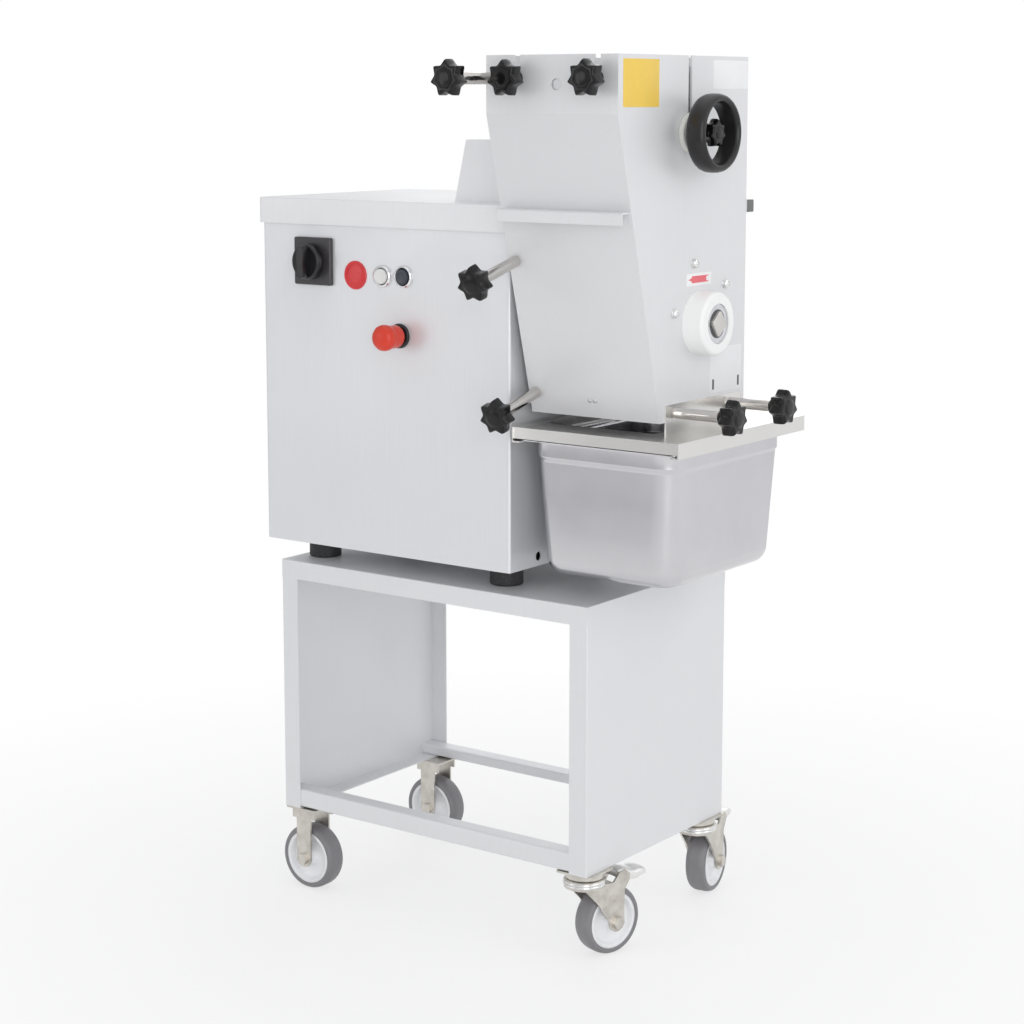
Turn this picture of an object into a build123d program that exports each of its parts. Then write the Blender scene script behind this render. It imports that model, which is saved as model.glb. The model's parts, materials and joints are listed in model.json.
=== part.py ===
from build123d import *
import math
import os

os.makedirs("parts", exist_ok=True)

# A strip slicer on a wheeled stand, in millimetres, Z up, front towards -Y.
# The origin is the middle of the whole object's footprint, on the floor.

# Stand
trolley_w = 566.0
trolley_d = 370.0
trolley_h = 390.0
sheet = 2.0
panel_flange = 30.0
deck_flange = 28.0
tube_size = 28.0
rear_tube_h = 16.0
tube_wall = 2.0

# Casters
caster_h = 133.0
wheel_d = 100.0
tread_w = 32.0
hub_w = 38.0
fork_sheet = 3.0
fork_gap = 40.0
axle_d = 12.0
plate_side = 60.0
plate_t = 3.0
trail = 42.0
swivel_front_deg = -15.7
swivel_rear_deg = 9.2

# Housing of the drive
housing_w = 459.0
housing_d = 350.0
housing_h = 481.0
housing_dx = -21.5
housing_dy = -7.0
foot_h = 33.0
foot_d = 49.0
lid_skirt = 38.0
lid_gap = 2.5
base_t = 3.0

# Head
head_gap = 12.0
head_w = 212.5
head_d = 329.0
head_h = 493.8
head_rise = 203.4
head_forward = 69.5
head_upright = 77.6
head_run = 107.4
side_t = 3.0
front_t = 2.0
slot_w = 9.0

# Knives
knife_d = 84.0
knife_t = 2.5
strip_w = 10.0
knife_count = 8
shaft_d = 25.0
shaft_step = 72.0
shaft_angle = -13.7
spacer_d = 34.0
gear_teeth = 18
run_fit = 0.05

# Controls
switch_side = 70.0
button_d = 22.0
bezel_d = 33.0
estop_d = 38.0

# Star knobs, their rods and the handwheel
star_d = 50.0
star_t = 22.0
rod_d = 16.0
rod_reach = 100.0
carrier_reach = 92.0
handwheel_d = 106.0
handwheel_t = 31.0
spindle_d = 8.4

# Pan and its carrier
carrier_w = 272.4
carrier_l = 341.7
rail_h = 21.6
carrier_drop = 15.3
pan_w = 265.0
pan_l = 325.0
pan_depth = 192.0
pan_t = 1.0
rim_w = 12.0
pan_clear = 12.0

# Extent of the whole, from the stand's left front corner
lid_over = lid_gap + sheet
left_most = housing_dx - lid_over
carrier_face = housing_dx + housing_w + head_gap + head_w + 2.0
right_most = carrier_face + carrier_reach + star_t / 2
head_front_y = housing_dy - head_forward
front_most = head_front_y - rod_reach - star_t / 2
pedal_reach = 108.0
pedal_half = 18.0
swivel_x = trolley_w - 25.0
swivel_y = 33.0
rear_turn = math.radians(swivel_rear_deg)
rear_swivel_y = trolley_d - swivel_y
rear_most = rear_swivel_y + pedal_reach * math.cos(rear_turn) + pedal_half * math.sin(rear_turn)

# Placement of the stand in the object's frame
x0 = -(left_most + right_most) / 2
y0 = -(front_most + rear_most) / 2
x1 = x0 + trolley_w
y1 = y0 + trolley_d
panel_z = caster_h
deck_z = caster_h + trolley_h
wheel_r = wheel_d / 2

# Placement of the housing
hx0 = x0 + housing_dx
hx1 = hx0 + housing_w
hy0 = y0 + housing_dy
hy1 = hy0 + housing_d
hz0 = deck_z + foot_h
hz1 = hz0 + housing_h
lid_top = hz1 + lid_skirt

# Placement of the head
gx0 = hx1 + head_gap
gx1 = gx0 + head_w
gy0 = hy0 - head_forward
gy1 = gy0 + head_d
# The head keeps its rise over the lid, unless its pan would then come down on the deck
low_head_top = deck_z + pan_clear + pan_depth + rail_h + carrier_drop + head_h
gz1 = max(lid_top + head_rise, low_head_top)
gz0 = gz1 - head_h
slope_z = gz1 - head_upright
tilt = math.atan2(head_run, slope_z - gz0)
slope_n = (0.0, -math.cos(tilt), -math.sin(tilt))


def slope_y(z):
    # Y of the front's outer face at a height on the slope
    return gy0 + (slope_z - z) * math.tan(tilt)


# Axes of the knives, the spindle and the clamp rods
ky1 = gy0 + 206.1
kz1 = gz0 + 130.2
ky2 = ky1 + shaft_step * math.cos(math.radians(shaft_angle))
kz2 = kz1 + shaft_step * math.sin(math.radians(shaft_angle))
sy = gy0 + 175.7
sz = gz1 - 103.5
stud_z = gz1 - 31.0
stud_x1 = gx0 + 51.7
stud_x2 = gx0 + 180.6
rod_x = gx0 + 13.5
rod_mid_z = gz0 + 216.2
rod_low_z = gz0 + 29.8

# Placement of the carrier and pan
cx0 = gx0 + 3.0
cx1 = cx0 + carrier_w
cy0 = gy0 + 54.0
cy1 = cy0 + carrier_l
cz1 = gz0 - carrier_drop
cz0 = cz1 - rail_h
px = (cx0 + cx1) / 2
py0 = cy0 + 5.0
py1 = py0 + pan_l
py = (py0 + py1) / 2
rim_z = cz0 + sheet + 0.3

# Stand

# Deck with its turned-down front and rear edges
with BuildPart() as trolley_deck:
    with BuildSketch(Plane.YZ.offset(x0)):
        with BuildLine():
            Polyline(
                (y0, deck_z),
                (y1, deck_z),
                (y1, deck_z - deck_flange),
                (y1 - sheet, deck_z - deck_flange),
                (y1 - sheet, deck_z - sheet),
                (y0 + sheet, deck_z - sheet),
                (y0 + sheet, deck_z - deck_flange),
                (y0, deck_z - deck_flange),
                close=True,
            )
        make_face()
    extrude(amount=trolley_w)
    top_edges = trolley_deck.edges().filter_by(Axis.X).group_by(Axis.Z)[-1]
    fillet(top_edges, radius=1.8)
trolley_deck.part.label = "trolley_deck"


def panel_sketch(mirror_x, z_low, z_high):
    # Outline of a side panel seen from above, with its two turned edges
    a = x0 if mirror_x > 0 else x1
    m = mirror_x
    return [
        (a, y0),
        (a + m * panel_flange, y0),
        (a + m * panel_flange, y0 + sheet),
        (a + m * sheet, y0 + sheet),
        (a + m * sheet, y1 - sheet),
        (a + m * panel_flange, y1 - sheet),
        (a + m * panel_flange, y1),
        (a, y1),
    ]


# Left panel, a sheet with turned edges at the front, rear and foot
with BuildPart() as panel_left:
    with BuildSketch(Plane.XY.offset(panel_z)):
        with BuildLine():
            Polyline(*panel_sketch(1, 0, 0), close=True)
        make_face()
    extrude(amount=trolley_h - deck_flange)
    with BuildSketch(Plane.XY.offset(panel_z)):
        with Locations((x0 + panel_flange / 2, (y0 + y1) / 2)):
            Rectangle(panel_flange, trolley_d)
    extrude(amount=sheet)
    with BuildSketch(Plane.XY.offset(panel_z)):
        with Locations((x0 + sheet / 2, (y0 + y1) / 2)):
            Rectangle(sheet, trolley_d - 2 * sheet)
    extrude(amount=trolley_h - sheet)
    corner = panel_left.edges().filter_by(Axis.Z).sort_by(Axis.X).group_by(Axis.X)[0]
    long_corner = corner.sort_by(SortBy.LENGTH)[-2:]
    fillet(long_corner, radius=1.5)
panel_left.part.label = "panel_left"

# Right panel, the mirror image
with BuildPart() as panel_right:
    with BuildSketch(Plane.XY.offset(panel_z)):
        with BuildLine():
            Polyline(*panel_sketch(-1, 0, 0), close=True)
        make_face()
    extrude(amount=trolley_h - deck_flange)
    with BuildSketch(Plane.XY.offset(panel_z)):
        with Locations((x1 - panel_flange / 2, (y0 + y1) / 2)):
            Rectangle(panel_flange, trolley_d)
    extrude(amount=sheet)
    with BuildSketch(Plane.XY.offset(panel_z)):
        with Locations((x1 - sheet / 2, (y0 + y1) / 2)):
            Rectangle(sheet, trolley_d - 2 * sheet)
    extrude(amount=trolley_h - sheet)
    corner = panel_right.edges().filter_by(Axis.Z).sort_by(Axis.X).group_by(Axis.X)[-1]
    long_corner = corner.sort_by(SortBy.LENGTH)[-2:]
    fillet(long_corner, radius=1.5)
panel_right.part.label = "panel_right"

# Front stretcher, a square tube on the panels' feet
stretcher_z = panel_z + sheet
with BuildPart() as stretcher_front:
    with BuildSketch(Plane.YZ.offset(x0 + sheet)):
        with Locations((y0 + sheet + tube_size / 2, stretcher_z + tube_size / 2)):
            RectangleRounded(tube_size, tube_size, 3.0)
            RectangleRounded(tube_size - 2 * tube_wall, tube_size - 2 * tube_wall, 1.5, mode=Mode.SUBTRACT)
    extrude(amount=trolley_w - 2 * sheet)
stretcher_front.part.label = "stretcher_front"

# Rear stretcher, a flatter tube
with BuildPart() as stretcher_rear:
    with BuildSketch(Plane.YZ.offset(x0 + sheet)):
        with Locations((y1 - sheet - tube_size / 2, stretcher_z + rear_tube_h / 2)):
            RectangleRounded(tube_size, rear_tube_h, 2.5)
            RectangleRounded(tube_size - 2 * tube_wall, rear_tube_h - 2 * tube_wall, 1.2, mode=Mode.SUBTRACT)
    extrude(amount=trolley_w - 2 * sheet)
stretcher_rear.part.label = "stretcher_rear"

# Casters

axle_z = wheel_r
rigid_x = x0 + plate_side / 2
rigid_front_y = y0 + plate_side / 2
rigid_rear_y = y1 - plate_side / 2
fork_top = caster_h - plate_t
leg_out = fork_gap / 2 + fork_sheet


def rigid_fork(cy, name):
    # Bolt plate, two straight legs and the axle bolt across them
    leg_w = 28.0
    with BuildPart() as fork:
        with BuildSketch(Plane.XY.offset(fork_top)):
            with Locations((rigid_x, cy)):
                RectangleRounded(plate_side, plate_side, 4.0)
        extrude(amount=plate_t)
        with BuildSketch(Plane.XY.offset(fork_top - fork_sheet)):
            with Locations((rigid_x, cy)):
                Rectangle(44.0, 2 * leg_out)
        extrude(amount=fork_sheet)
        for side in (-1, 1):
            start = cy - leg_out if side < 0 else cy + fork_gap / 2
            with BuildSketch(Plane.XZ.offset(-(start + fork_sheet))):
                with Locations((rigid_x, (axle_z + fork_top) / 2)):
                    Rectangle(leg_w, fork_top - axle_z)
                with Locations((rigid_x, axle_z)):
                    Circle(leg_w / 2)
                with Locations((rigid_x, fork_top - 8.0)):
                    Rectangle(44.0, 16.0)
            extrude(amount=fork_sheet)
        with BuildSketch(Plane.XZ.offset(-(cy + leg_out + 1.0))):
            with Locations((rigid_x, axle_z)):
                Circle(axle_d / 2)
        extrude(amount=2 * leg_out + 2.0)
        with BuildSketch(Plane.XZ.offset(-(cy + leg_out + 7.0))):
            with Locations((rigid_x, axle_z)):
                RegularPolygon(9.5, 6)
        extrude(amount=7.0)
        with BuildSketch(Plane.XZ.offset(-(cy - leg_out))):
            with Locations((rigid_x, axle_z)):
                RegularPolygon(9.5, 6)
        extrude(amount=6.0)
    fork.part.label = name
    return fork


fork_front = rigid_fork(rigid_front_y, "rigid_fork_front")
fork_rear = rigid_fork(rigid_rear_y, "rigid_fork_rear")


def swivel_plate(cy, name):
    # Fixed plate, upper race and the king pin under it
    with BuildPart() as plate:
        with BuildSketch(Plane.XY.offset(fork_top)):
            with Locations((swivel_x_abs, cy)):
                RectangleRounded(plate_side, plate_side, 4.0)
        extrude(amount=plate_t)
        with BuildSketch(Plane.XY.offset(fork_top - 8.7)):
            with Locations((swivel_x_abs, cy)):
                Circle(28.0)
        extrude(amount=8.7)
        rim = plate.edges().filter_by(GeomType.CIRCLE).group_by(Axis.Z)[0]
        fillet(rim, radius=2.5)
        with BuildSketch(Plane.XY.offset(fork_top - 26.0)):
            with Locations((swivel_x_abs, cy)):
                Circle(6.0)
        extrude(amount=20.0)
        with BuildSketch(Plane.XY.offset(fork_top - 29.0)):
            with Locations((swivel_x_abs, cy)):
                Circle(10.0)
        extrude(amount=6.7)
    plate.part.label = name
    return plate


swivel_x_abs = x0 + swivel_x
swivel_fy = y0 + swivel_y
swivel_ry = y1 - swivel_y
plate_front = swivel_plate(swivel_fy, "swivel_plate_front")
plate_rear = swivel_plate(swivel_ry, "swivel_plate_rear")

web_z = fork_top - 22.0
pedal_y = 58.0
pedal_z = fork_top - 12.0


def swivel_fork(cy, turn, name):
    # Lower race, web, two raked legs, axle bolt and the pedal's pin, along local Y
    with BuildPart() as fork:
        with BuildSketch(Plane.XY.offset(web_z + 3.0)):
            Circle(30.0)
        extrude(amount=10.0)
        race_edge = fork.edges().filter_by(GeomType.CIRCLE).group_by(Axis.Z)[-1]
        fillet(race_edge, radius=3.0)
        with BuildSketch(Plane.XY.offset(web_z)):
            Circle(30.0)
            with Locations((0, 14.0)):
                Rectangle(2 * leg_out, 40.0)
        extrude(amount=3.0)
        with Locations((0, 0, web_z)):
            Cylinder(6.0 + run_fit, 60.0, mode=Mode.SUBTRACT)
        for side in (-1, 1):
            start = -leg_out if side < 0 else fork_gap / 2
            with BuildSketch(Plane.YZ.offset(start)):
                with BuildLine():
                    Polyline(
                        (-14.0, web_z + 3.0),
                        (-14.0, web_z - 3.0),
                        (8.0, web_z - 26.0),
                        (trail - 13.5, axle_z + 2.0),
                        (trail, axle_z - 8.0),
                        (trail + 13.5, axle_z),
                        (trail + 14.0, web_z - 12.0),
                        (pedal_y + 8.0, web_z + 2.0),
                        (pedal_y + 8.0, pedal_z),
                        (pedal_y, pedal_z + 7.0),
                        (pedal_y - 12.0, pedal_z + 5.0),
                        (36.0, web_z + 3.0),
                        close=True,
                    )
                make_face()
                with Locations((trail, axle_z)):
                    Circle(14.0)
            extrude(amount=fork_sheet)
        with BuildSketch(Plane.YZ.offset(-leg_out - 1.0)):
            with Locations((trail, axle_z)):
                Circle(axle_d / 2)
        extrude(amount=2 * leg_out + 2.0)
        with BuildSketch(Plane.YZ.offset(leg_out)):
            with Locations((trail, axle_z)):
                RegularPolygon(9.5, 6)
        extrude(amount=6.0)
        with BuildSketch(Plane.YZ.offset(-leg_out - 7.0)):
            with Locations((trail, axle_z)):
                RegularPolygon(9.5, 6)
        extrude(amount=7.0)
        with BuildSketch(Plane.YZ.offset(-leg_out)):
            with Locations((pedal_y, pedal_z)):
                Circle(3.0)
        extrude(amount=2 * leg_out)
    placed = fork.part.moved(Location((swivel_x_abs, cy, 0), (0, 0, turn)))
    placed.label = name
    return placed


swivel_fork_front = swivel_fork(swivel_fy, swivel_front_deg, "swivel_fork_front")
swivel_fork_rear = swivel_fork(swivel_ry, swivel_rear_deg, "swivel_fork_rear")


def brake_pedal(cy, turn, name):
    # Sleeve on the pin and a dished tread plate behind it
    with BuildPart() as pedal:
        with BuildSketch(Plane.YZ.offset(-pedal_half)):
            with Locations((pedal_y, pedal_z)):
                Circle(6.5)
        extrude(amount=2 * pedal_half)
        with BuildSketch(Plane.YZ.offset(-pedal_half)):
            with BuildLine():
                Polyline(
                    (pedal_y, pedal_z + 6.4),
                    (pedal_y + 14.0, pedal_z + 6.0),
                    (pedal_reach - 26.0, pedal_z + 2.0),
                    (pedal_reach, pedal_z + 2.0),
                    (pedal_reach, pedal_z - 1.5),
                    (pedal_reach - 26.0, pedal_z - 1.5),
                    (pedal_y + 14.0, pedal_z + 2.4),
                    (pedal_y + 4.0, pedal_z - 4.0),
                    close=True,
                )
            make_face()
        extrude(amount=2 * pedal_half)
        tip = pedal.edges().filter_by(Axis.Z).group_by(Axis.Y)[-1]
        fillet(tip, radius=10.0)
        for flange_x in (-pedal_half, pedal_half - 2.0):
            with BuildSketch(Plane.YZ.offset(flange_x)):
                with BuildLine():
                    Polyline(
                        (pedal_y + 6.0, pedal_z + 2.0),
                        (pedal_y + 14.0, pedal_z + 3.0),
                        (pedal_reach - 12.0, pedal_z),
                        (pedal_reach - 18.0, pedal_z - 9.0),
                        (pedal_y + 14.0, pedal_z - 7.0),
                        close=True,
                    )
                make_face()
            extrude(amount=2.0)
        with BuildSketch(Plane.YZ.offset(-pedal_half)):
            with Locations((pedal_y, pedal_z)):
                Circle(3.0 + run_fit)
        extrude(amount=2 * pedal_half, mode=Mode.SUBTRACT)
    placed = pedal.part.moved(Location((swivel_x_abs, cy, 0), (0, 0, turn)))
    placed.label = name
    return placed


pedal_front = brake_pedal(swivel_fy, swivel_front_deg, "brake_pedal_front")
pedal_rear = brake_pedal(swivel_ry, swivel_rear_deg, "brake_pedal_rear")


def wheel_pair(place, tag):
    # Hub turned about its axle, with the tyre pressed over its rim
    rim_r = wheel_r - 9.0
    with BuildPart() as hub:
        with BuildSketch(Plane.XY):
            with BuildLine():
                Polyline(
                    (axle_d / 2 + run_fit, -hub_w / 2),
                    (13.0, -hub_w / 2),
                    (14.0, -7.0),
                    (rim_r - 7.0, -5.0),
                    (rim_r - 5.0, -tread_w / 2 + 1.0),
                    (rim_r, -tread_w / 2 + 1.0),
                    (rim_r, tread_w / 2 - 1.0),
                    (rim_r - 5.0, tread_w / 2 - 1.0),
                    (rim_r - 7.0, 5.0),
                    (14.0, 7.0),
                    (13.0, hub_w / 2),
                    (axle_d / 2 + run_fit, hub_w / 2),
                    close=True,
                )
            make_face()
        revolve(axis=Axis.Y)
    with BuildPart() as tyre:
        with BuildSketch(Plane.XY):
            with BuildLine():
                Polyline(
                    (rim_r, -tread_w / 2),
                    (wheel_r - 4.0, -tread_w / 2),
                    (wheel_r, -tread_w / 2 + 6.0),
                    (wheel_r, tread_w / 2 - 6.0),
                    (wheel_r - 4.0, tread_w / 2),
                    (rim_r, tread_w / 2),
                    close=True,
                )
            make_face()
        revolve(axis=Axis.Y)
    hub_placed = hub.part.moved(place)
    hub_placed.label = "wheel_hub_" + tag
    tyre_placed = tyre.part.moved(place)
    tyre_placed.label = "tyre_" + tag
    return hub_placed, tyre_placed


def swivel_wheel_place(cy, turn):
    # Axle along the turned fork's local X, at the trail behind the king pin
    a = math.radians(turn)
    wx = swivel_x_abs - trail * math.sin(a)
    wy = cy + trail * math.cos(a)
    return Location((wx, wy, axle_z), (0, 0, turn - 90.0))


hub_lf, tyre_lf = wheel_pair(Location((rigid_x, rigid_front_y, axle_z)), "left_front")
hub_lr, tyre_lr = wheel_pair(Location((rigid_x, rigid_rear_y, axle_z)), "left_rear")
hub_rf, tyre_rf = wheel_pair(swivel_wheel_place(swivel_fy, swivel_front_deg), "right_front")
hub_rr, tyre_rr = wheel_pair(swivel_wheel_place(swivel_ry, swivel_rear_deg), "right_rear")

# Housing

# Four walls, with the drive's opening in the right one
neck_d = 110.0
with BuildPart() as housing_body:
    with BuildSketch(Plane.XY.offset(hz0)):
        with Locations(((hx0 + hx1) / 2, (hy0 + hy1) / 2)):
            RectangleRounded(housing_w, housing_d, 4.0)
            RectangleRounded(housing_w - 2 * sheet, housing_d - 2 * sheet, 2.0, mode=Mode.SUBTRACT)
    extrude(amount=lid_top - sheet - hz0)
    with BuildSketch(Plane.YZ.offset(hx1 - 2 * sheet)):
        with Locations((ky1, kz1)):
            Circle(neck_d / 2 + 0.3)
        with Locations((hy0 + 70.0, hz0 + 14.0)):
            Circle(6.5)
    extrude(amount=4 * sheet, mode=Mode.SUBTRACT)
    with BuildSketch(Plane.XZ.offset(-(hy0 + 2 * sheet))):
        with Locations((hx0 + 102.0, hz1 - 54.0)):
            Circle(12.0)
        with Locations((hx0 + 232.5, hz1 - 70.5), (hx0 + 272.0, hz1 - 69.5), (hx0 + 262.5, hz1 - 155.4)):
            Circle(11.3)
    extrude(amount=4 * sheet, mode=Mode.SUBTRACT)
    with BuildSketch(Plane.XZ.offset(-(hy1 + 2 * sheet))):
        with Locations((hx0 + 90.0, hz0 + 70.0)):
            Circle(10.3)
    extrude(amount=4 * sheet, mode=Mode.SUBTRACT)
housing_body.part.label = "housing_body"

# Base plate inside the walls
with BuildPart() as housing_base:
    with BuildSketch(Plane.XY.offset(hz0)):
        with Locations(((hx0 + hx1) / 2, (hy0 + hy1) / 2)):
            RectangleRounded(housing_w - 2 * sheet, housing_d - 2 * sheet, 2.0)
            with GridLocations(60.0, 60.0, 4, 3):
                SlotOverall(36.0, 6.0, mode=Mode.SUBTRACT)
    extrude(amount=base_t)
housing_base.part.label = "housing_base"

# Lid with a skirt all round
with BuildPart() as housing_lid:
    with BuildSketch(Plane.XY.offset(hz1)):
        with Locations(((hx0 + hx1) / 2, (hy0 + hy1) / 2)):
            RectangleRounded(housing_w + 2 * lid_over, housing_d + 2 * lid_over, 5.0)
    extrude(amount=lid_skirt)
    fillet(housing_lid.edges().group_by(Axis.Z)[-1], radius=1.8)
    with BuildSketch(Plane.XY.offset(hz1)):
        with Locations(((hx0 + hx1) / 2, (hy0 + hy1) / 2)):
            RectangleRounded(housing_w + 2 * lid_gap, housing_d + 2 * lid_gap, 4.0)
    extrude(amount=lid_skirt - sheet, mode=Mode.SUBTRACT)
housing_lid.part.label = "housing_lid"

# Four rubber feet on the deck
foot_in = 56.0
foot_in_y = 69.0
with BuildPart() as rubber_feet:
    with BuildSketch(Plane.XY.offset(deck_z)):
        with Locations(((hx0 + hx1) / 2, (hy0 + hy1) / 2)):
            with GridLocations(housing_w - 2 * foot_in, housing_d - 2 * foot_in_y, 2, 2):
                Circle(foot_d / 2)
    extrude(amount=foot_h)
    fillet(rubber_feet.edges().group_by(Axis.Z)[0], radius=3.0)
    chamfer(rubber_feet.edges().group_by(Axis.Z)[-1], length=2.0)
rubber_feet.part.label = "rubber_feet"

# Hood that joins the lid to the head
neck_x = hx0 + 318.5
neck_y0 = hy0 + 59.0
neck_y1 = neck_y0 + 150.0
neck_h = 88.0
with BuildPart() as neck_cover:
    with BuildSketch(Plane.XZ.offset(-neck_y1)):
        with BuildLine():
            Polyline(
                (neck_x, lid_top),
                (neck_x + 20.0, lid_top + neck_h),
                (gx0, lid_top + neck_h),
                (gx0, lid_top),
                close=True,
            )
        make_face()
    extrude(amount=neck_y1 - neck_y0)
    fillet(neck_cover.edges().filter_by(Axis.Y).group_by(Axis.Z)[-1].sort_by(Axis.X)[0], radius=3.0)
    with BuildSketch(Plane.XZ.offset(-(neck_y1 - sheet))):
        with BuildLine():
            Polyline(
                (neck_x + sheet + 0.1, lid_top),
                (neck_x + sheet + 19.6, lid_top + neck_h - sheet),
                (gx0, lid_top + neck_h - sheet),
                (gx0, lid_top),
                close=True,
            )
        make_face()
    extrude(amount=neck_y1 - neck_y0 - 2 * sheet, mode=Mode.SUBTRACT)
neck_cover.part.label = "neck_cover"

# Controls

sw_x = hx0 + 102.0
sw_z = hz1 - 54.0
sw_t = 7.0
with BuildPart() as switch_plate:
    with BuildSketch(Plane.XZ.offset(-hy0)):
        with Locations((sw_x, sw_z)):
            RectangleRounded(switch_side, switch_side, 3.0)
    extrude(amount=sw_t)
    chamfer(switch_plate.faces().sort_by(Axis.Y)[0].edges(), length=1.2)
    with BuildSketch(Plane.XZ.offset(-(hy0 - sw_t))):
        with Locations((sw_x, sw_z)):
            Circle(25.0)
            Circle(20.3, mode=Mode.SUBTRACT)
    extrude(amount=2.5)
    with BuildSketch(Plane.XZ.offset(-(hy0 + 30.0))):
        with Locations((sw_x, sw_z)):
            Circle(3.0 + run_fit)
    extrude(amount=60.0, mode=Mode.SUBTRACT)
switch_plate.part.label = "switch_plate"

# Rotary knob with an upright bar grip and its shaft
with BuildPart() as switch_knob:
    with BuildSketch(Plane.XZ.offset(-(hy0 - sw_t - 0.3))):
        with Locations((sw_x, sw_z)):
            Circle(20.0)
    extrude(amount=4.0)
    with BuildSketch(Plane.XZ.offset(-(hy0 - sw_t - 3.0))):
        with Locations((sw_x, sw_z)):
            Circle(24.3)
    extrude(amount=13.0)
    fillet(switch_knob.faces().sort_by(Axis.Y)[0].edges(), radius=2.0)
    with BuildSketch(Plane.XZ.offset(-(hy0 - sw_t - 15.0))):
        with Locations((sw_x, sw_z)):
            SlotOverall(45.0, 14.0, rotation=90.0)
    extrude(amount=14.0)
    fillet(switch_knob.faces().sort_by(Axis.Y)[0].edges(), radius=2.0)
    with BuildSketch(Plane.XZ.offset(-(hy0 + 24.0))):
        with Locations((sw_x, sw_z)):
            Circle(3.0)
    extrude(amount=34.0)
switch_knob.part.label = "switch_knob"

badge_x = hx0 + 180.3
badge_z = hz1 - 71.4
with BuildPart() as badge_disc:
    with BuildSketch(Plane.XZ.offset(-hy0)):
        with Locations((badge_x, badge_z)):
            Circle(21.0)
    extrude(amount=2.0)
    fillet(badge_disc.faces().sort_by(Axis.Y)[0].edges(), radius=0.8)
badge_disc.part.label = "badge_disc"

start_x = hx0 + 232.5
start_z = hz1 - 70.5
stop_x = hx0 + 272.0
stop_z = hz1 - 69.5
estop_x = hx0 + 262.5
estop_z = hz1 - 155.4
# Bezel rings of the three push buttons, each with its neck through the wall
with BuildPart() as button_bezels:
    with BuildSketch(Plane.XZ.offset(-hy0)):
        with Locations((start_x, start_z), (stop_x, stop_z)):
            Circle(bezel_d / 2)
    extrude(amount=6.0)
    fillet(button_bezels.faces().group_by(Axis.Y)[0].edges(), radius=1.5)
    with BuildSketch(Plane.XZ.offset(-hy0)):
        with Locations((estop_x, estop_z)):
            Circle(18.0)
    extrude(amount=4.0)
    with BuildSketch(Plane.XZ.offset(-(hy0 + 12.0))):
        with Locations((start_x, start_z), (stop_x, stop_z), (estop_x, estop_z)):
            Circle(11.0)
    extrude(amount=12.0)
    with BuildSketch(Plane.XZ.offset(-(hy0 + 30.0))):
        with Locations((start_x, start_z), (stop_x, stop_z), (estop_x, estop_z)):
            Circle(4.0 + run_fit)
    extrude(amount=60.0, mode=Mode.SUBTRACT)
    with BuildSketch(Plane.XZ.offset(-(hy0 - 1.5))):
        with Locations((start_x, start_z), (stop_x, stop_z)):
            Circle(button_d / 2 + 0.3)
    extrude(amount=20.0, mode=Mode.SUBTRACT)
button_bezels.part.label = "button_bezels"


def push_button(bx, bz, proud, name):
    # Cap in the bezel's well, on a stem that runs back through the wall
    with BuildPart() as button:
        with BuildSketch(Plane.XZ.offset(-(hy0 - 4.5))):
            with Locations((bx, bz)):
                Circle(button_d / 2)
        extrude(amount=proud)
        fillet(button.faces().sort_by(Axis.Y)[0].edges(), radius=1.0)
        with BuildSketch(Plane.XZ.offset(-(hy0 + 14.0))):
            with Locations((bx, bz)):
                Circle(4.0)
        extrude(amount=19.0)
    button.part.label = name
    return button


start_button = push_button(start_x, start_z, 4.5, "start_button")
stop_button = push_button(stop_x, stop_z, 4.5, "stop_button")

# Emergency stop, a mushroom on a long neck
with BuildPart() as estop_button:
    with BuildSketch(Plane.XY.offset(estop_z)):
        with BuildLine():
            Polyline(
                (estop_x, hy0 + 14.0),
                (estop_x + 4.0, hy0 + 14.0),
                (estop_x + 4.0, hy0 - 8.6),
                (estop_x + 16.4, hy0 - 8.6),
                (estop_x + 16.8, hy0 - 26.0),
                (estop_x + estop_d / 2 - 0.6, hy0 - 30.0),
                (estop_x + estop_d / 2, hy0 - 34.0),
                (estop_x + estop_d / 2 - 0.6, hy0 - 40.0),
                (estop_x + estop_d / 2 - 4.0, hy0 - 45.0),
                (estop_x, hy0 - 48.5),
                close=True,
            )
        make_face()
    revolve(axis=Axis((estop_x, 0, estop_z), (0, 1, 0)))
estop_button.part.label = "estop_button"

# Contact blocks behind the front wall
with BuildPart() as contact_blocks:
    with BuildSketch(Plane.XZ.offset(-(hy0 + 54.0))):
        with Locations((start_x, start_z), (stop_x, stop_z), (estop_x, estop_z)):
            Rectangle(30.0, 34.0)
        with Locations((sw_x, sw_z)):
            Rectangle(46.0, 46.0)
    extrude(amount=54.0 - 12.0)
    with BuildSketch(Plane.XZ.offset(-(hy0 + 12.0))):
        with Locations((sw_x, sw_z)):
            Rectangle(46.0, 46.0)
    extrude(amount=12.0 - sheet)
    with BuildSketch(Plane.XZ.offset(-(hy0 + 26.0))):
        with Locations((sw_x, sw_z)):
            Circle(3.0 + run_fit)
    extrude(amount=30.0, mode=Mode.SUBTRACT)
    with BuildSketch(Plane.XZ.offset(-(hy0 + 24.0))):
        with Locations((start_x, start_z), (stop_x, stop_z), (estop_x, estop_z)):
            Circle(4.0 + run_fit)
    extrude(amount=20.0, mode=Mode.SUBTRACT)
contact_blocks.part.label = "contact_blocks"

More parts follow.
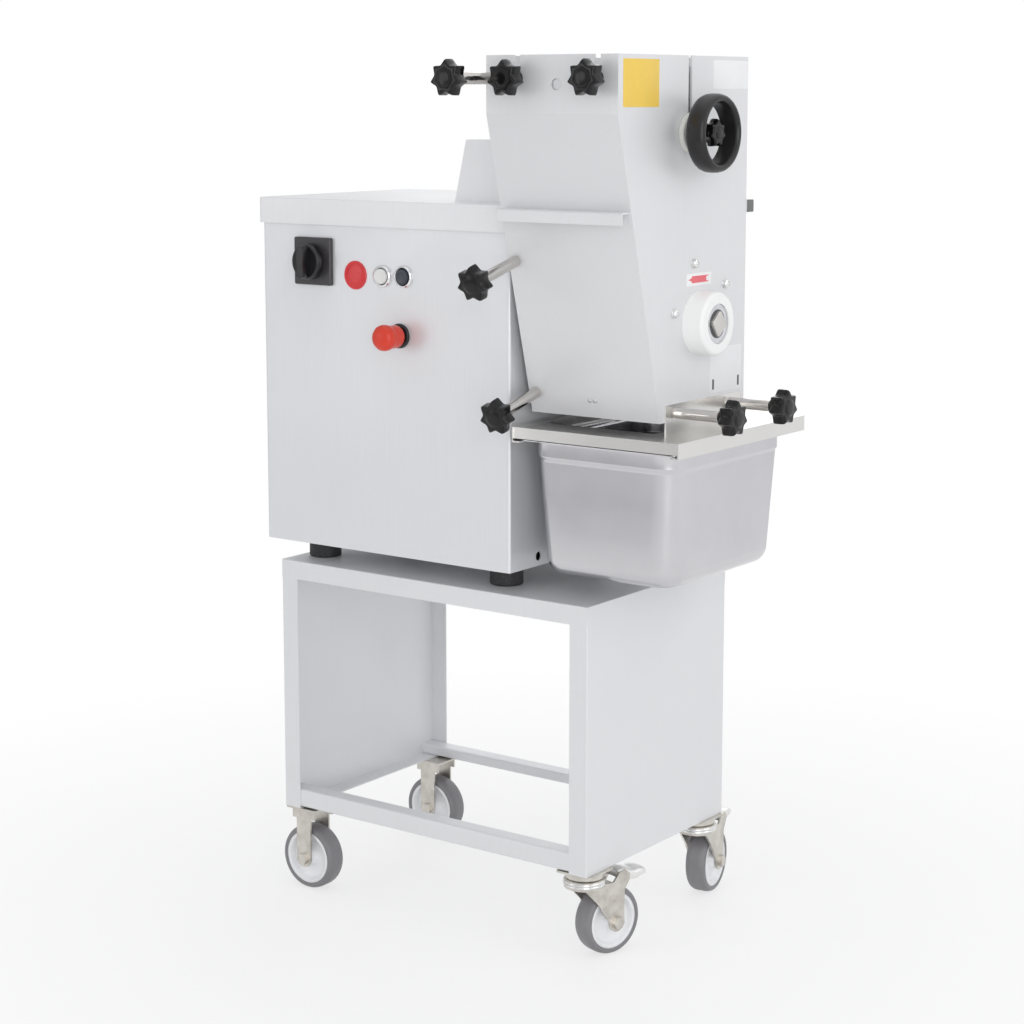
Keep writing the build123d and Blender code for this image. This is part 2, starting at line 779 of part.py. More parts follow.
# Cable inlet in the rear wall, with an empty bore
gland_x = hx0 + 90.0
gland_z = hz0 + 70.0
with BuildPart() as cable_gland:
    with BuildSketch(Plane.XZ.offset(-(hy1 + 6.0))):
        with Locations((gland_x, gland_z)):
            RegularPolygon(14.0, 6)
    extrude(amount=6.0)
    with BuildSketch(Plane.XZ.offset(-(hy1 + 22.0))):
        with Locations((gland_x, gland_z)):
            Circle(11.0)
    extrude(amount=16.0)
    fillet(cable_gland.faces().sort_by(Axis.Y)[-1].edges(), radius=3.0)
    with BuildSketch(Plane.XZ.offset(-hy1)):
        with Locations((gland_x, gland_z)):
            Circle(10.0)
    extrude(amount=14.0)
    with BuildSketch(Plane.XZ.offset(-(hy1 - 12.0))):
        with Locations((gland_x, gland_z)):
            RegularPolygon(14.0, 6)
    extrude(amount=-10.0 + sheet)
    with BuildSketch(Plane.XZ.offset(-(hy1 + 30.0))):
        with Locations((gland_x, gland_z)):
            Circle(5.0)
    extrude(amount=60.0, mode=Mode.SUBTRACT)
cable_gland.part.label = "cable_gland"

# Drive

box_x0 = hx1 - sheet - 96.0
box_x1 = hx1 - sheet
# Gearbox, bolted to the right wall, with the neck that carries the head
with BuildPart() as gearbox:
    with BuildSketch(Plane.YZ.offset(box_x0)):
        with Locations((ky1, kz1)):
            RectangleRounded(140.0, 140.0, 14.0)
    extrude(amount=box_x1 - box_x0)
    with BuildSketch(Plane.YZ.offset(box_x1)):
        with Locations((ky1, kz1)):
            Circle(neck_d / 2)
    extrude(amount=gx0 - box_x1)
    with BuildSketch(Plane.YZ.offset(box_x0 + 40.0)):
        with Locations((ky1, kz1)):
            Circle(shaft_d / 2 + run_fit)
    extrude(amount=gx0 - box_x0, mode=Mode.SUBTRACT)
    with BuildSketch(Plane.YZ.offset(gx0 - 8.0)):
        with Locations((ky1, kz1)):
            Circle(24.0)
    extrude(amount=20.0, mode=Mode.SUBTRACT)
gearbox.part.label = "gearbox"

motor_r = 72.0
motor_x0 = hx0 + 90.0
# Motor with cooling ribs and a terminal box, on the gearbox's left face
with BuildPart() as drive_motor:
    with BuildSketch(Plane.YZ.offset(motor_x0)):
        with Locations((ky1, kz1)):
            Circle(motor_r)
    extrude(amount=30.0)
    fillet(drive_motor.faces().sort_by(Axis.X)[0].edges(), radius=6.0)
    with BuildSketch(Plane.YZ.offset(motor_x0 + 30.0)):
        with Locations((ky1, kz1)):
            Circle(motor_r - 10.0)
            with PolarLocations(motor_r - 8.0, 24):
                Rectangle(12.0, 3.0)
    extrude(amount=box_x0 - 14.0 - motor_x0 - 30.0)
    with BuildSketch(Plane.YZ.offset(box_x0 - 14.0)):
        with Locations((ky1, kz1)):
            RectangleRounded(136.0, 136.0, 20.0)
    extrude(amount=14.0)
    with BuildSketch(Plane.XY.offset(kz1 + motor_r - 14.0)):
        with Locations(((motor_x0 + box_x0) / 2, ky1)):
            RectangleRounded(90.0, 76.0, 6.0)
    extrude(amount=40.0)
drive_motor.part.label = "drive_motor"

# Output shaft with the coupling disc in the neck
with BuildPart() as drive_shaft:
    with BuildSketch(Plane.YZ.offset(box_x0 + 41.0)):
        with Locations((ky1, kz1)):
            Circle(shaft_d / 2)
    extrude(amount=gx0 - box_x0 - 41.0)
    with BuildSketch(Plane.YZ.offset(gx0 - 7.5)):
        with Locations((ky1, kz1)):
            Circle(23.0)
    extrude(amount=7.0)
drive_shaft.part.label = "drive_shaft"

# Head

off = front_t * math.tan(tilt / 2)
side_profile = [
    (gy0 + front_t, gz1),
    (gy1, gz1),
    (gy1, gz0),
    (gy0 + head_run + front_t / math.cos(tilt), gz0),
    (gy0 + front_t, slope_z + off),
]
boss_x0 = gx0 + side_t
boss_l = 9.5
gear_x0 = boss_x0 + 11.5
gear_t = 12.0
stack_x0 = gear_x0 + gear_t + 3.5
stack_x1 = gx1 - side_t - 9.0

# Left side plate with the bosses of both knife shafts
with BuildPart() as head_plate_left:
    with BuildSketch(Plane.YZ.offset(gx0)):
        with BuildLine():
            Polyline(*side_profile, close=True)
        make_face()
    extrude(amount=side_t)
    with BuildSketch(Plane.YZ.offset(boss_x0)):
        with Locations((ky1, kz1)):
            Circle(24.0)
        with Locations((ky2, kz2)):
            Circle(19.0)
    extrude(amount=boss_l)
    with BuildSketch(Plane.YZ.offset(gx0)):
        with Locations((ky1, kz1)):
            Circle(15.0 + run_fit)
    extrude(amount=40.0, mode=Mode.SUBTRACT)
    with BuildSketch(Plane.YZ.offset(boss_x0)):
        with Locations((ky2, kz2)):
            Circle(10.0 + run_fit)
    extrude(amount=40.0, mode=Mode.SUBTRACT)
head_plate_left.part.label = "head_plate_left"

tie_1 = (gy0 + 190.4, gz0 + 213.0)
tie_2 = (gy0 + 272.7, gz0 + 179.8)
tie_3 = (gy0 + 140.4, gz0 + 147.7)
tie_d = 12.0
hub_d = 88.0
hub_l = 31.0
# Right side plate with the open slot, the knife opening and the rear lug
with BuildPart() as head_plate_right:
    with BuildSketch(Plane.YZ.offset(gx1 - side_t)):
        with BuildLine():
            Polyline(*side_profile, close=True)
        make_face()
        with Locations((ky1, kz1)):
            Circle(knife_d / 2 + 2.0, mode=Mode.SUBTRACT)
        with Locations((sy, (sz + gz1) / 2 + 10.0)):
            Rectangle(slot_w, gz1 - sz + 20.0, mode=Mode.SUBTRACT)
        with Locations((sy, sz)):
            Circle(slot_w / 2, mode=Mode.SUBTRACT)
        with Locations((gy0 + 142.5, gz0 + 11.5), (gy0 + 279.5, gz0 + 11.5)):
            Circle(5.0 + run_fit, mode=Mode.SUBTRACT)
        with Locations(tie_1, tie_2, tie_3):
            Circle(4.0 + run_fit, mode=Mode.SUBTRACT)
    extrude(amount=side_t)
    with BuildSketch(Plane.YZ.offset(gx1 - side_t - 8.0)):
        with Locations((ky2, kz2)):
            Circle(19.0)
    extrude(amount=8.0)
    with BuildSketch(Plane.YZ.offset(gx1 - side_t - 8.0)):
        with Locations((ky2, kz2)):
            Circle(10.0 + run_fit)
    extrude(amount=8.0, mode=Mode.SUBTRACT)
    with BuildSketch(Plane.YZ.offset(gx1 - side_t)):
        with Locations((gy1 + 8.0, gz1 - 208.0)):
            Rectangle(22.0, 16.0)
    extrude(amount=side_t)
head_plate_right.part.label = "head_plate_right"

# Back plate between the side plates
with BuildPart() as head_plate_back:
    with BuildSketch(Plane.XZ.offset(-gy1)):
        with Locations(((gx0 + gx1) / 2, (gz0 + gz1) / 2)):
            Rectangle(head_w - 2 * side_t, head_h)
    extrude(amount=front_t)
head_plate_back.part.label = "head_plate_back"

# Front, folded once, with two slots open at the top, the grip rail and weld nuts
slope_plane = Plane(
    origin=(0, slope_y(rod_mid_z), rod_mid_z),
    x_dir=(1, 0, 0),
    z_dir=slope_n,
)
nut_side = 20.0
nut_t = 9.0
low_s = (rod_mid_z - rod_low_z) / math.cos(tilt)
rail_z = gz1 - 206.0
rail_y = slope_y(rail_z)
with BuildPart() as head_front:
    with BuildSketch(Plane.YZ.offset(gx0)):
        with BuildLine():
            Polyline(
                (gy0, gz1),
                (gy0, slope_z),
                (gy0 + head_run, gz0),
                (gy0 + head_run + front_t / math.cos(tilt), gz0),
                (gy0 + front_t, slope_z + off),
                (gy0 + front_t, gz1),
                close=True,
            )
        make_face()
    extrude(amount=head_w)
    with BuildSketch(Plane.XZ.offset(-(gy0 + 10.0))):
        for slot_x in (stud_x1, stud_x2):
            with Locations((slot_x, (stud_z + gz1) / 2 + 10.0)):
                Rectangle(slot_w, gz1 - stud_z + 20.0)
            with Locations((slot_x, stud_z)):
                Circle(slot_w / 2)
        with Locations((gx0 + 114.7, gz1 - 39.0)):
            Circle(8.0)
    extrude(amount=20.0, mode=Mode.SUBTRACT)
    with BuildSketch(Plane.XZ.offset(-(gy0 + front_t + nut_t))):
        with Locations((rod_x, stud_z)):
            RectangleRounded(nut_side, nut_side, 3.0)
    extrude(amount=nut_t)
    with BuildSketch(slope_plane.offset(-front_t - nut_t)):
        with Locations((rod_x, 0), (rod_x, -low_s)):
            RectangleRounded(nut_side, nut_side, 3.0)
    extrude(amount=nut_t)
    with BuildSketch(Plane.YZ.offset(gx0 + 8.0)):
        with BuildLine():
            Polyline(
                (rail_y + 0.5, rail_z + 1.0),
                (rail_y - 18.0, rail_z + 1.0),
                (rail_y - 20.0, rail_z - 1.0),
                (rail_y - 20.0, rail_z - 16.0),
                (rail_y - 18.0, rail_z - 16.0),
                (rail_y - 18.0, rail_z - 1.5),
                (rail_y - 1.6, rail_z - 1.5),
                (slope_y(rail_z - 22.0) - 2.0, rail_z - 22.0),
                (slope_y(rail_z - 22.0) + 0.5, rail_z - 22.0),
                close=True,
            )
        make_face()
    extrude(amount=head_w - 10.0)
    with BuildSketch(Plane.XZ.offset(-(gy0 + 30.0))):
        with Locations((rod_x, stud_z)):
            Circle(6.0 + run_fit)
    extrude(amount=60.0, mode=Mode.SUBTRACT)
    with BuildSketch(slope_plane.offset(-30.0)):
        with Locations((rod_x, 0), (rod_x, -low_s)):
            Circle(6.0 + run_fit)
    extrude(amount=40.0, mode=Mode.SUBTRACT)
head_front.part.label = "head_front"

# Tie bars across the head, their ends through the right plate as screws
with BuildPart() as tie_bars:
    with BuildSketch(Plane.YZ.offset(boss_x0)):
        with Locations(tie_1, tie_2, tie_3):
            Circle(tie_d / 2)
    extrude(amount=head_w - 2 * side_t)
    with BuildSketch(Plane.YZ.offset(gx1 - side_t - 1.0)):
        with Locations(tie_1, tie_2, tie_3):
            Circle(4.0)
    extrude(amount=side_t + 2.0)
    with BuildSketch(Plane.YZ.offset(gx1)):
        with Locations(tie_1, tie_2, tie_3):
            RegularPolygon(7.0, 6)
    extrude(amount=5.0)
tie_bars.part.label = "tie_bars"

# Stripper combs, fingers that reach between the knives to their spacers
stack_mid = (stack_x0 + stack_x1) / 2
pitch = 2 * strip_w
first_front = stack_mid - pitch * (knife_count - 1) / 2 - strip_w / 2
first_rear = first_front + strip_w
comb_t = 8.0
spacer_r = spacer_d / 2


def comb_profile(pivot, axis_yz):
    # Finger from its tie bar to just short of the spacer
    dy = axis_yz[0] - pivot[0]
    dz = axis_yz[1] - pivot[1]
    length = math.hypot(dy, dz)
    uy = dy / length
    uz = dz / length
    reach = length - spacer_r - 1.0
    half = 5.0
    a = (pivot[0] - uz * half, pivot[1] + uy * half)
    b = (pivot[0] + uz * half, pivot[1] - uy * half)
    tip_b = (pivot[0] + uy * reach + uz * half, pivot[1] + uz * reach - uy * half)
    tip_a = (pivot[0] + uy * reach - uz * half, pivot[1] + uz * reach + uy * half)
    return [a, b, tip_b, tip_a]


# Rails clamped round two of the tie bars, with one finger in each gap of the knives
with BuildPart() as stripper_combs:
    for pivot, axis_yz, first in ((tie_3, (ky1, kz1), first_front), (tie_2, (ky2, kz2), first_rear)):
        with BuildSketch(Plane.YZ.offset(stack_x0)):
            with Locations(pivot):
                Circle(tie_d / 2 + 4.0)
        extrude(amount=stack_x1 - stack_x0)
        for i in range(knife_count - 1):
            mid = first + pitch * (i + 0.5)
            with BuildSketch(Plane.YZ.offset(mid - comb_t / 2)):
                with BuildLine():
                    Polyline(*comb_profile(pivot, axis_yz), close=True)
                make_face()
            extrude(amount=comb_t)
        with BuildSketch(Plane.YZ.offset(stack_x0 - 5.0)):
            with Locations(pivot):
                Circle(tie_d / 2)
        extrude(amount=stack_x1 - stack_x0 + 10.0, mode=Mode.SUBTRACT)
stripper_combs.part.label = "stripper_combs"

# Bearing hub on the right plate, its spigot in the knife opening
with BuildPart() as bearing_hub:
    with BuildSketch(Plane.YZ.offset(gx1)):
        with Locations((ky1, kz1)):
            Circle(hub_d / 2)
    extrude(amount=hub_l)
    fillet(bearing_hub.faces().sort_by(Axis.X)[-1].edges(), radius=5.0)
    with BuildSketch(Plane.YZ.offset(gx1 - side_t)):
        with Locations((ky1, kz1)):
            Circle(knife_d / 2 + 1.9)
    extrude(amount=side_t)
    with BuildSketch(Plane.YZ.offset(gx1 + hub_l - 6.0)):
        with Locations((ky1, kz1)):
            Circle(27.8)
    extrude(amount=10.0, mode=Mode.SUBTRACT)
    with BuildSketch(Plane.YZ.offset(gx1 - 10.0)):
        with Locations((ky1, kz1)):
            Circle(15.0 + run_fit)
    extrude(amount=60.0, mode=Mode.SUBTRACT)
bearing_hub.part.label = "bearing_hub"


def gear_outline(cy, cz, phase):
    # Flat-sided teeth with generous backlash, as points in the YZ plane
    pitch_r = shaft_step / 2
    tip_r = pitch_r + 2.1
    root_r = pitch_r - 3.0
    step = 2 * math.pi / gear_teeth
    points = []
    for i in range(gear_teeth):
        mid = phase + i * step
        for radius, share in ((root_r, -0.29), (tip_r, -0.12), (tip_r, 0.12), (root_r, 0.29)):
            angle = mid + share * step
            points.append((cy + radius * math.cos(angle), cz + radius * math.sin(angle)))
    return points


line_angle = math.radians(shaft_angle)
gear_step = 2 * math.pi / gear_teeth

# Knife block: front shaft with gear, spacers, round knives and the square end
with BuildPart() as knife_shaft_front:
    with BuildSketch(Plane.YZ.offset(gx0)):
        with Locations((ky1, kz1)):
            Circle(15.0)
    extrude(amount=gear_x0 - gx0)
    with BuildSketch(Plane.YZ.offset(gear_x0)):
        with BuildLine():
            Polyline(*gear_outline(ky1, kz1, line_angle), close=True)
        make_face()
    extrude(amount=gear_t)
    with BuildSketch(Plane.YZ.offset(gear_x0 + gear_t)):
        with Locations((ky1, kz1)):
            Circle(spacer_r)
    extrude(amount=stack_x1 + 2.0 - gear_x0 - gear_t)
    with BuildSketch(Plane.YZ.offset(stack_x1 + 2.0)):
        with Locations((ky1, kz1)):
            Circle(15.0)
    extrude(amount=gx1 + hub_l - 2.5 - stack_x1 - 2.0)
    for i in range(knife_count):
        with BuildSketch(Plane.YZ.offset(first_front + pitch * i - knife_t / 2)):
            with Locations((ky1, kz1)):
                Circle(knife_d / 2)
        extrude(amount=knife_t)
    with BuildSketch(Plane.YZ.offset(gx1 + hub_l - 5.7)):
        with Locations((ky1, kz1)):
            Circle(27.4)
    extrude(amount=3.7)
    with BuildSketch(Plane.YZ.offset(gx1 + hub_l - 2.5)):
        with Locations((ky1, kz1)):
            Rectangle(25.0, 25.0, rotation=38.0)
    extrude(amount=4.5)
knife_shaft_front.part.label = "knife_shaft_front"

# Rear shaft, driven by its gear against the front one
with BuildPart() as knife_shaft_rear:
    with BuildSketch(Plane.YZ.offset(boss_x0 + 0.5)):
        with Locations((ky2, kz2)):
            Circle(10.0)
    extrude(amount=gear_x0 - boss_x0 - 0.5)
    with BuildSketch(Plane.YZ.offset(gear_x0)):
        with BuildLine():
            phase_rear = line_angle + math.pi + gear_step / 2
            Polyline(*gear_outline(ky2, kz2, phase_rear), close=True)
        make_face()
    extrude(amount=gear_t)
    with BuildSketch(Plane.YZ.offset(gear_x0 + gear_t)):
        with Locations((ky2, kz2)):
            Circle(spacer_r)
    extrude(amount=gx1 - side_t - 9.0 - gear_x0 - gear_t)
    with BuildSketch(Plane.YZ.offset(gx1 - side_t - 9.0)):
        with Locations((ky2, kz2)):
            Circle(10.0)
    extrude(amount=8.5)
    for i in range(knife_count):
        with BuildSketch(Plane.YZ.offset(first_rear + pitch * i - knife_t / 2)):
            with Locations((ky2, kz2)):
                Circle(knife_d / 2)
        extrude(amount=knife_t)
knife_shaft_rear.part.label = "knife_shaft_rear"

# Feed chute that lifts out of the head

chute_t = 1.5
chute_x0 = gx0 + side_t + 21.5
chute_x1 = gx1 - side_t - 4.0
chute_gap = 1.5
chute_top = gz1 - 14.0
chute_y0 = gy0 + front_t + chute_gap
chute_y1 = gy1 - front_t - chute_gap - 1.5
mouth_z = tie_1[1] + 16.0
mouth_y0 = tie_1[0] - 2.0
mouth_y1 = tie_2[0] - 10.0
outer = [
    (chute_y0, chute_top),
    (chute_y1, chute_top),
    (chute_y1, mouth_z + 110.0),
    (mouth_y1, mouth_z),
    (mouth_y0, mouth_z),
    (chute_y0, slope_z + 4.0),
]
inner = [
    (chute_y0 + chute_t, chute_top + 5.0),
    (chute_y1 - chute_t, chute_top + 5.0),
    (chute_y1 - chute_t, mouth_z + 110.0 + 0.3),
    (mouth_y1 - chute_t - 0.2, mouth_z - 5.0),
    (mouth_y0 + chute_t + 0.2, mouth_z - 5.0),
    (chute_y0 + chute_t, slope_z + 4.8),
]
with BuildPart() as feed_chute:
    with BuildSketch(Plane.YZ.offset(chute_x0)):
        with BuildLine():
            Polyline(*outer, close=True)
        make_face()
    extrude(amount=chute_x1 - chute_x0)
    with BuildSketch(Plane.YZ.offset(chute_x0 + chute_t)):
        with BuildLine():
            Polyline(*inner, close=True)
        make_face()
    extrude(amount=chute_x1 - chute_x0 - 2 * chute_t, mode=Mode.SUBTRACT)
    with BuildSketch(Plane.XZ.offset(-chute_y0)):
        with Locations((stud_x1, stud_z), (stud_x2, stud_z)):
            Circle(4.0)
    extrude(amount=chute_y0 - gy0 + 24.0)
    with BuildSketch(Plane.YZ.offset(chute_x1 - chute_t - 3.0)):
        with Locations((sy, sz)):
            Circle(11.0)
    extrude(amount=chute_t + 3.0)
    with BuildSketch(Plane.YZ.offset(chute_x0)):
        with Locations((sy, sz)):
            Circle(11.0)
    extrude(amount=chute_t + 3.0)
    with BuildSketch(Plane.YZ.offset(chute_x0 - 1.0)):
        with Locations((sy, sz)):
            Circle(spindle_d / 2 + run_fit)
    extrude(amount=chute_x1 - chute_x0 + 10.0, mode=Mode.SUBTRACT)
feed_chute.part.label = "feed_chute"

# Flap spindle across the chute, out through the right plate's slot
wheel_x0 = gx1 + 22.0
with BuildPart() as flap_spindle:
    with BuildSketch(Plane.YZ.offset(chute_x0)):
        with Locations((sy, sz)):
            Circle(spindle_d / 2)
    extrude(amount=wheel_x0 + 22.0 - chute_x0)
    with BuildSketch(Plane.YZ.offset(chute_x0 + chute_t + 3.5)):
        with Locations((sy, sz)):
            Circle(7.0)
        with BuildLine():
            Polyline(
                (sy - 2.0, sz - 5.0),
                (sy + 0.5, sz - 5.0),
                (sy + 12.5, sz - 78.0),
                (sy + 10.0, sz - 78.0),
                close=True,
            )
        make_face()
    extrude(amount=chute_x1 - chute_x0 - 2 * chute_t - 7.0)
    with BuildSketch(Plane.YZ.offset(gx1 + 0.3)):
        with Locations((sy, sz)):
            Circle(27.5)
    extrude(amount=7.0)
    fillet(flap_spindle.edges().filter_by(GeomType.CIRCLE).filter_by_position(Axis.X, gx1 + 7.0, gx1 + 7.6), radius=1.5)
flap_spindle.part.label = "flap_spindle"

# Deep-rimmed handwheel with a web and a boss on the spindle
with BuildPart() as handwheel:
    with BuildSketch(Plane.XY.offset(sz)):
        with BuildLine():
            Polyline(
                (wheel_x0, sy + 38.0),
                (wheel_x0 + 3.0, sy + handwheel_d / 2 - 3.0),
                (wheel_x0 + 8.0, sy + handwheel_d / 2),
                (wheel_x0 + handwheel_t - 6.0, sy + handwheel_d / 2),
                (wheel_x0 + handwheel_t, sy + handwheel_d / 2 - 5.0),
                (wheel_x0 + handwheel_t, sy + handwheel_d / 2 - 9.0),
                (wheel_x0 + handwheel_t - 7.0, sy + handwheel_d / 2 - 12.5),
                (wheel_x0 + 8.0, sy + handwheel_d / 2 - 12.5),
                (wheel_x0 + 6.0, sy + 34.0),
                (wheel_x0 + 6.0, sy + 13.0),
                (wheel_x0 + 7.0, sy + 12.0),
                (wheel_x0 + 7.0, sy + spindle_d / 2 + run_fit),
                (wheel_x0 - 14.0, sy + spindle_d / 2 + run_fit),
                (wheel_x0 - 14.0, sy + 12.0),
                (wheel_x0, sy + 13.0),
                close=True,
            )
        make_face()
    revolve(axis=Axis((0, sy, sz), (1, 0, 0)))
    with BuildSketch(Plane.YZ.offset(wheel_x0 - 5.0)):
        with Locations((sy, sz)):
            Circle(handwheel_d / 2 - 13.0)
            Rectangle(handwheel_d, 28.0, mode=Mode.SUBTRACT)
    extrude(amount=16.0, mode=Mode.SUBTRACT)
handwheel.part.label = "handwheel"


# Star knobs

def star_outline(centre, across):
    # Fourteen corners: seven points and the seven valleys between them
    points = []
    for i in range(14):
        radius = across / 2 + 0.8 if i % 2 == 0 else across * 0.385
        angle = math.radians(90.0 + i * 360.0 / 14)
        points.append((centre[0] + radius * math.cos(angle), centre[1] + radius * math.sin(angle)))
    return points


def star(plane, centre, length, thread_d, thread_l, rod, name, bore=0.0, bore_l=0.0, collar=9.0, across=star_d, thick=star_t):
    # Seven-lobed grip at the end of a rod that starts on the given plane
    with BuildPart() as knob:
        with BuildSketch(plane.offset(length - thick / 2)) as star_sketch:
            with BuildLine():
                Polyline(*star_outline(centre, across), close=True)
            make_face()
            fillet(star_sketch.vertices(), radius=2.4)
        extrude(amount=thick)
        ends = knob.faces().filter_by(GeomType.PLANE).sort_by(SortBy.AREA)[-2:]
        chamfer(ends.edges(), length=1.2)
        base = 0.0 if rod > 0 else length - thick / 2 - collar
        if rod > 0:
            with BuildSketch(plane):
                with Locations(centre):
                    Circle(rod / 2)
            extrude(amount=length)
        with BuildSketch(plane.offset(length - thick / 2 - collar)):
            with Locations(centre):
                Circle(10.5)
        extrude(amount=collar + 1.0)
        if thread_l > 0:
            with BuildSketch(plane.offset(-thread_l)):
                with Locations(centre):
                    Circle(thread_d / 2)
            extrude(amount=thread_l + 1.0)
        if bore > 0:
            with BuildSketch(plane.offset(base - 1.0)):
                with Locations(centre):
                    Circle(bore / 2)
            extrude(amount=bore_l + 1.0, mode=Mode.SUBTRACT)
    knob.part.label = name
    return knob


front_plane = Plane(origin=(0, gy0, 0), x_dir=(1, 0, 0), z_dir=(0, -1, 0))
right_plane = Plane(origin=(gx1 + 2.0, 0, 0), x_dir=(0, 1, 0), z_dir=(1, 0, 0))
wheel_plane = Plane(origin=(wheel_x0 + 12.0, 0, 0), x_dir=(0, 1, 0), z_dir=(1, 0, 0))

rod_top = star(front_plane, (rod_x, stud_z), rod_reach, 12.0, 10.0, rod_d, "clamp_knob_top")
rod_mid = star(slope_plane, (rod_x, 0), rod_reach, 12.0, 10.0, rod_d, "clamp_knob_middle")
rod_low = star(slope_plane, (rod_x, -low_s), rod_reach - 2.0, 12.0, 10.0, rod_d, "clamp_knob_lower")
stud_bore = 2 * (4.0 + run_fit)
knob_left = star(front_plane, (stud_x1, stud_z), 28.0, 0, 0, 0, "chute_knob_left", stud_bore, 26.0, 16.7)
knob_right = star(front_plane, (stud_x2, stud_z), 28.0, 0, 0, 0, "chute_knob_right", stud_bore, 26.0, 16.7)
spindle_bore = spindle_d + 2 * run_fit
spindle_knob = star(wheel_plane, (sy, sz), 6.3, 0, 0, 0, "spindle_knob", spindle_bore, 16.0, 3.0, 39.0, 16.0)
carrier_y1 = gy0 + 142.5
carrier_y2 = gy0 + 279.5
carrier_kz = gz0 + 11.5
knob_c1 = star(right_plane, (carrier_y1, carrier_kz), carrier_reach, 10.0, 9.0, 15.5, "carrier_knob_front")
knob_c2 = star(right_plane, (carrier_y2, carrier_kz), carrier_reach, 10.0, 9.0, 15.5, "carrier_knob_rear")

# Pan carrier: plate with an opening, two hooked rails and the upright flange
open_x0 = gx0 + 14.0
open_x1 = gx1 - 12.0
open_y0 = gy0 + head_run + 6.0
open_y1 = gy1 - 10.0
with BuildPart() as pan_carrier:
    with BuildSketch(Plane.XZ.offset(-cy1)):
        with BuildLine():
            Polyline(
                (cx0, cz1),
                (cx1, cz1),
                (cx1, cz0),
                (cx1 - 13.0, cz0),
                (cx1 - 13.0, cz0 + sheet),
                (cx1 - sheet, cz0 + sheet),
                (cx1 - sheet, cz1 - sheet),
                (cx0 + sheet, cz1 - sheet),
                (cx0 + sheet, cz0 + sheet),
                (cx0 + 13.0, cz0 + sheet),
                (cx0 + 13.0, cz0),
                (cx0, cz0),
                close=True,
            )
        make_face()
    extrude(amount=carrier_l)
    with BuildSketch(Plane.XZ.offset(-(cy0 + 4.0))):
        with Locations(((cx0 + cx1) / 2, (cz0 + 5.4 + cz1 - sheet / 2) / 2)):
            Rectangle(carrier_w - sheet, cz1 - sheet / 2 - cz0 - 5.4)
    extrude(amount=sheet)
    with BuildSketch(Plane.XY.offset(cz1 - 2 * sheet)):
        with Locations(((open_x0 + open_x1) / 2, (open_y0 + open_y1) / 2)):
            RectangleRounded(open_x1 - open_x0, open_y1 - open_y0, 8.0)
    extrude(amount=3 * sheet, mode=Mode.SUBTRACT)
    with BuildSketch(Plane.YZ.offset(gx1)):
        with Locations(((gy0 + 217.9), (gz0 + 23.8 + cz1 - 1.0) / 2)):
            Rectangle(197.2, gz0 + 23.8 - cz1 + 1.0)
        with Locations((carrier_y1, carrier_kz), (carrier_y2, carrier_kz)):
            Circle(5.0 + run_fit, mode=Mode.SUBTRACT)
    extrude(amount=2.0)
pan_carrier.part.label = "pan_carrier"

# Food pan, tapered, with rounded corners, a shoulder and a flat rim
pan_r = 34.0
body_w = pan_w - 2 * rim_w
body_l = pan_l - 2 * rim_w
taper = 12.0
rim_t = 1.6
shoulder_z = rim_z + rim_t - 26.0
pan_z0 = rim_z + rim_t - pan_depth
with BuildPart() as pan_hollow:
    with BuildSketch(Plane.XY.offset(shoulder_z)):
        with Locations((px, py)):
            RectangleRounded(body_w - 5.0 - 2 * pan_t, body_l - 5.0 - 2 * pan_t, pan_r - pan_t)
    with BuildSketch(Plane.XY.offset(pan_z0 + pan_t)):
        with Locations((px, py)):
            RectangleRounded(body_w - 5.0 - taper - 2 * pan_t, body_l - 5.0 - taper - 2 * pan_t, pan_r + 5.0)
    loft()
    fillet(pan_hollow.faces().sort_by(Axis.Z)[0].edges(), radius=15.0)
with BuildPart() as food_pan:
    with BuildSketch(Plane.XY.offset(shoulder_z)):
        with Locations((px, py)):
            RectangleRounded(body_w - 5.0, body_l - 5.0, pan_r)
    with BuildSketch(Plane.XY.offset(pan_z0)):
        with Locations((px, py)):
            RectangleRounded(body_w - 5.0 - taper, body_l - 5.0 - taper, pan_r + 6.0)
    loft()
    fillet(food_pan.faces().sort_by(Axis.Z)[0].edges(), radius=16.0)
    add(pan_hollow.part, mode=Mode.SUBTRACT)
    with BuildSketch(Plane.XY.offset(shoulder_z)):
        with Locations((px, py)):
            RectangleRounded(body_w, body_l, pan_r + 2.5)
            RectangleRounded(body_w - 5.0 - 2 * pan_t, body_l - 5.0 - 2 * pan_t, pan_r - pan_t, mode=Mode.SUBTRACT)
    extrude(amount=pan_t)
    with BuildSketch(Plane.XY.offset(shoulder_z)):
        with Locations((px, py)):
            RectangleRounded(body_w, body_l, pan_r + 2.5)
            RectangleRounded(body_w - 2 * pan_t, body_l - 2 * pan_t, pan_r + 2.5 - pan_t, mode=Mode.SUBTRACT)
    extrude(amount=rim_z - shoulder_z)
    with BuildSketch(Plane.XY.offset(rim_z)):
        with Locations((px, py)):
            RectangleRounded(pan_w, pan_l, 16.0)
            RectangleRounded(body_w - 2 * pan_t, body_l - 2 * pan_t, pan_r + 2.5 - pan_t, mode=Mode.SUBTRACT)
    extrude(amount=rim_t)
food_pan.part.label = "food_pan"

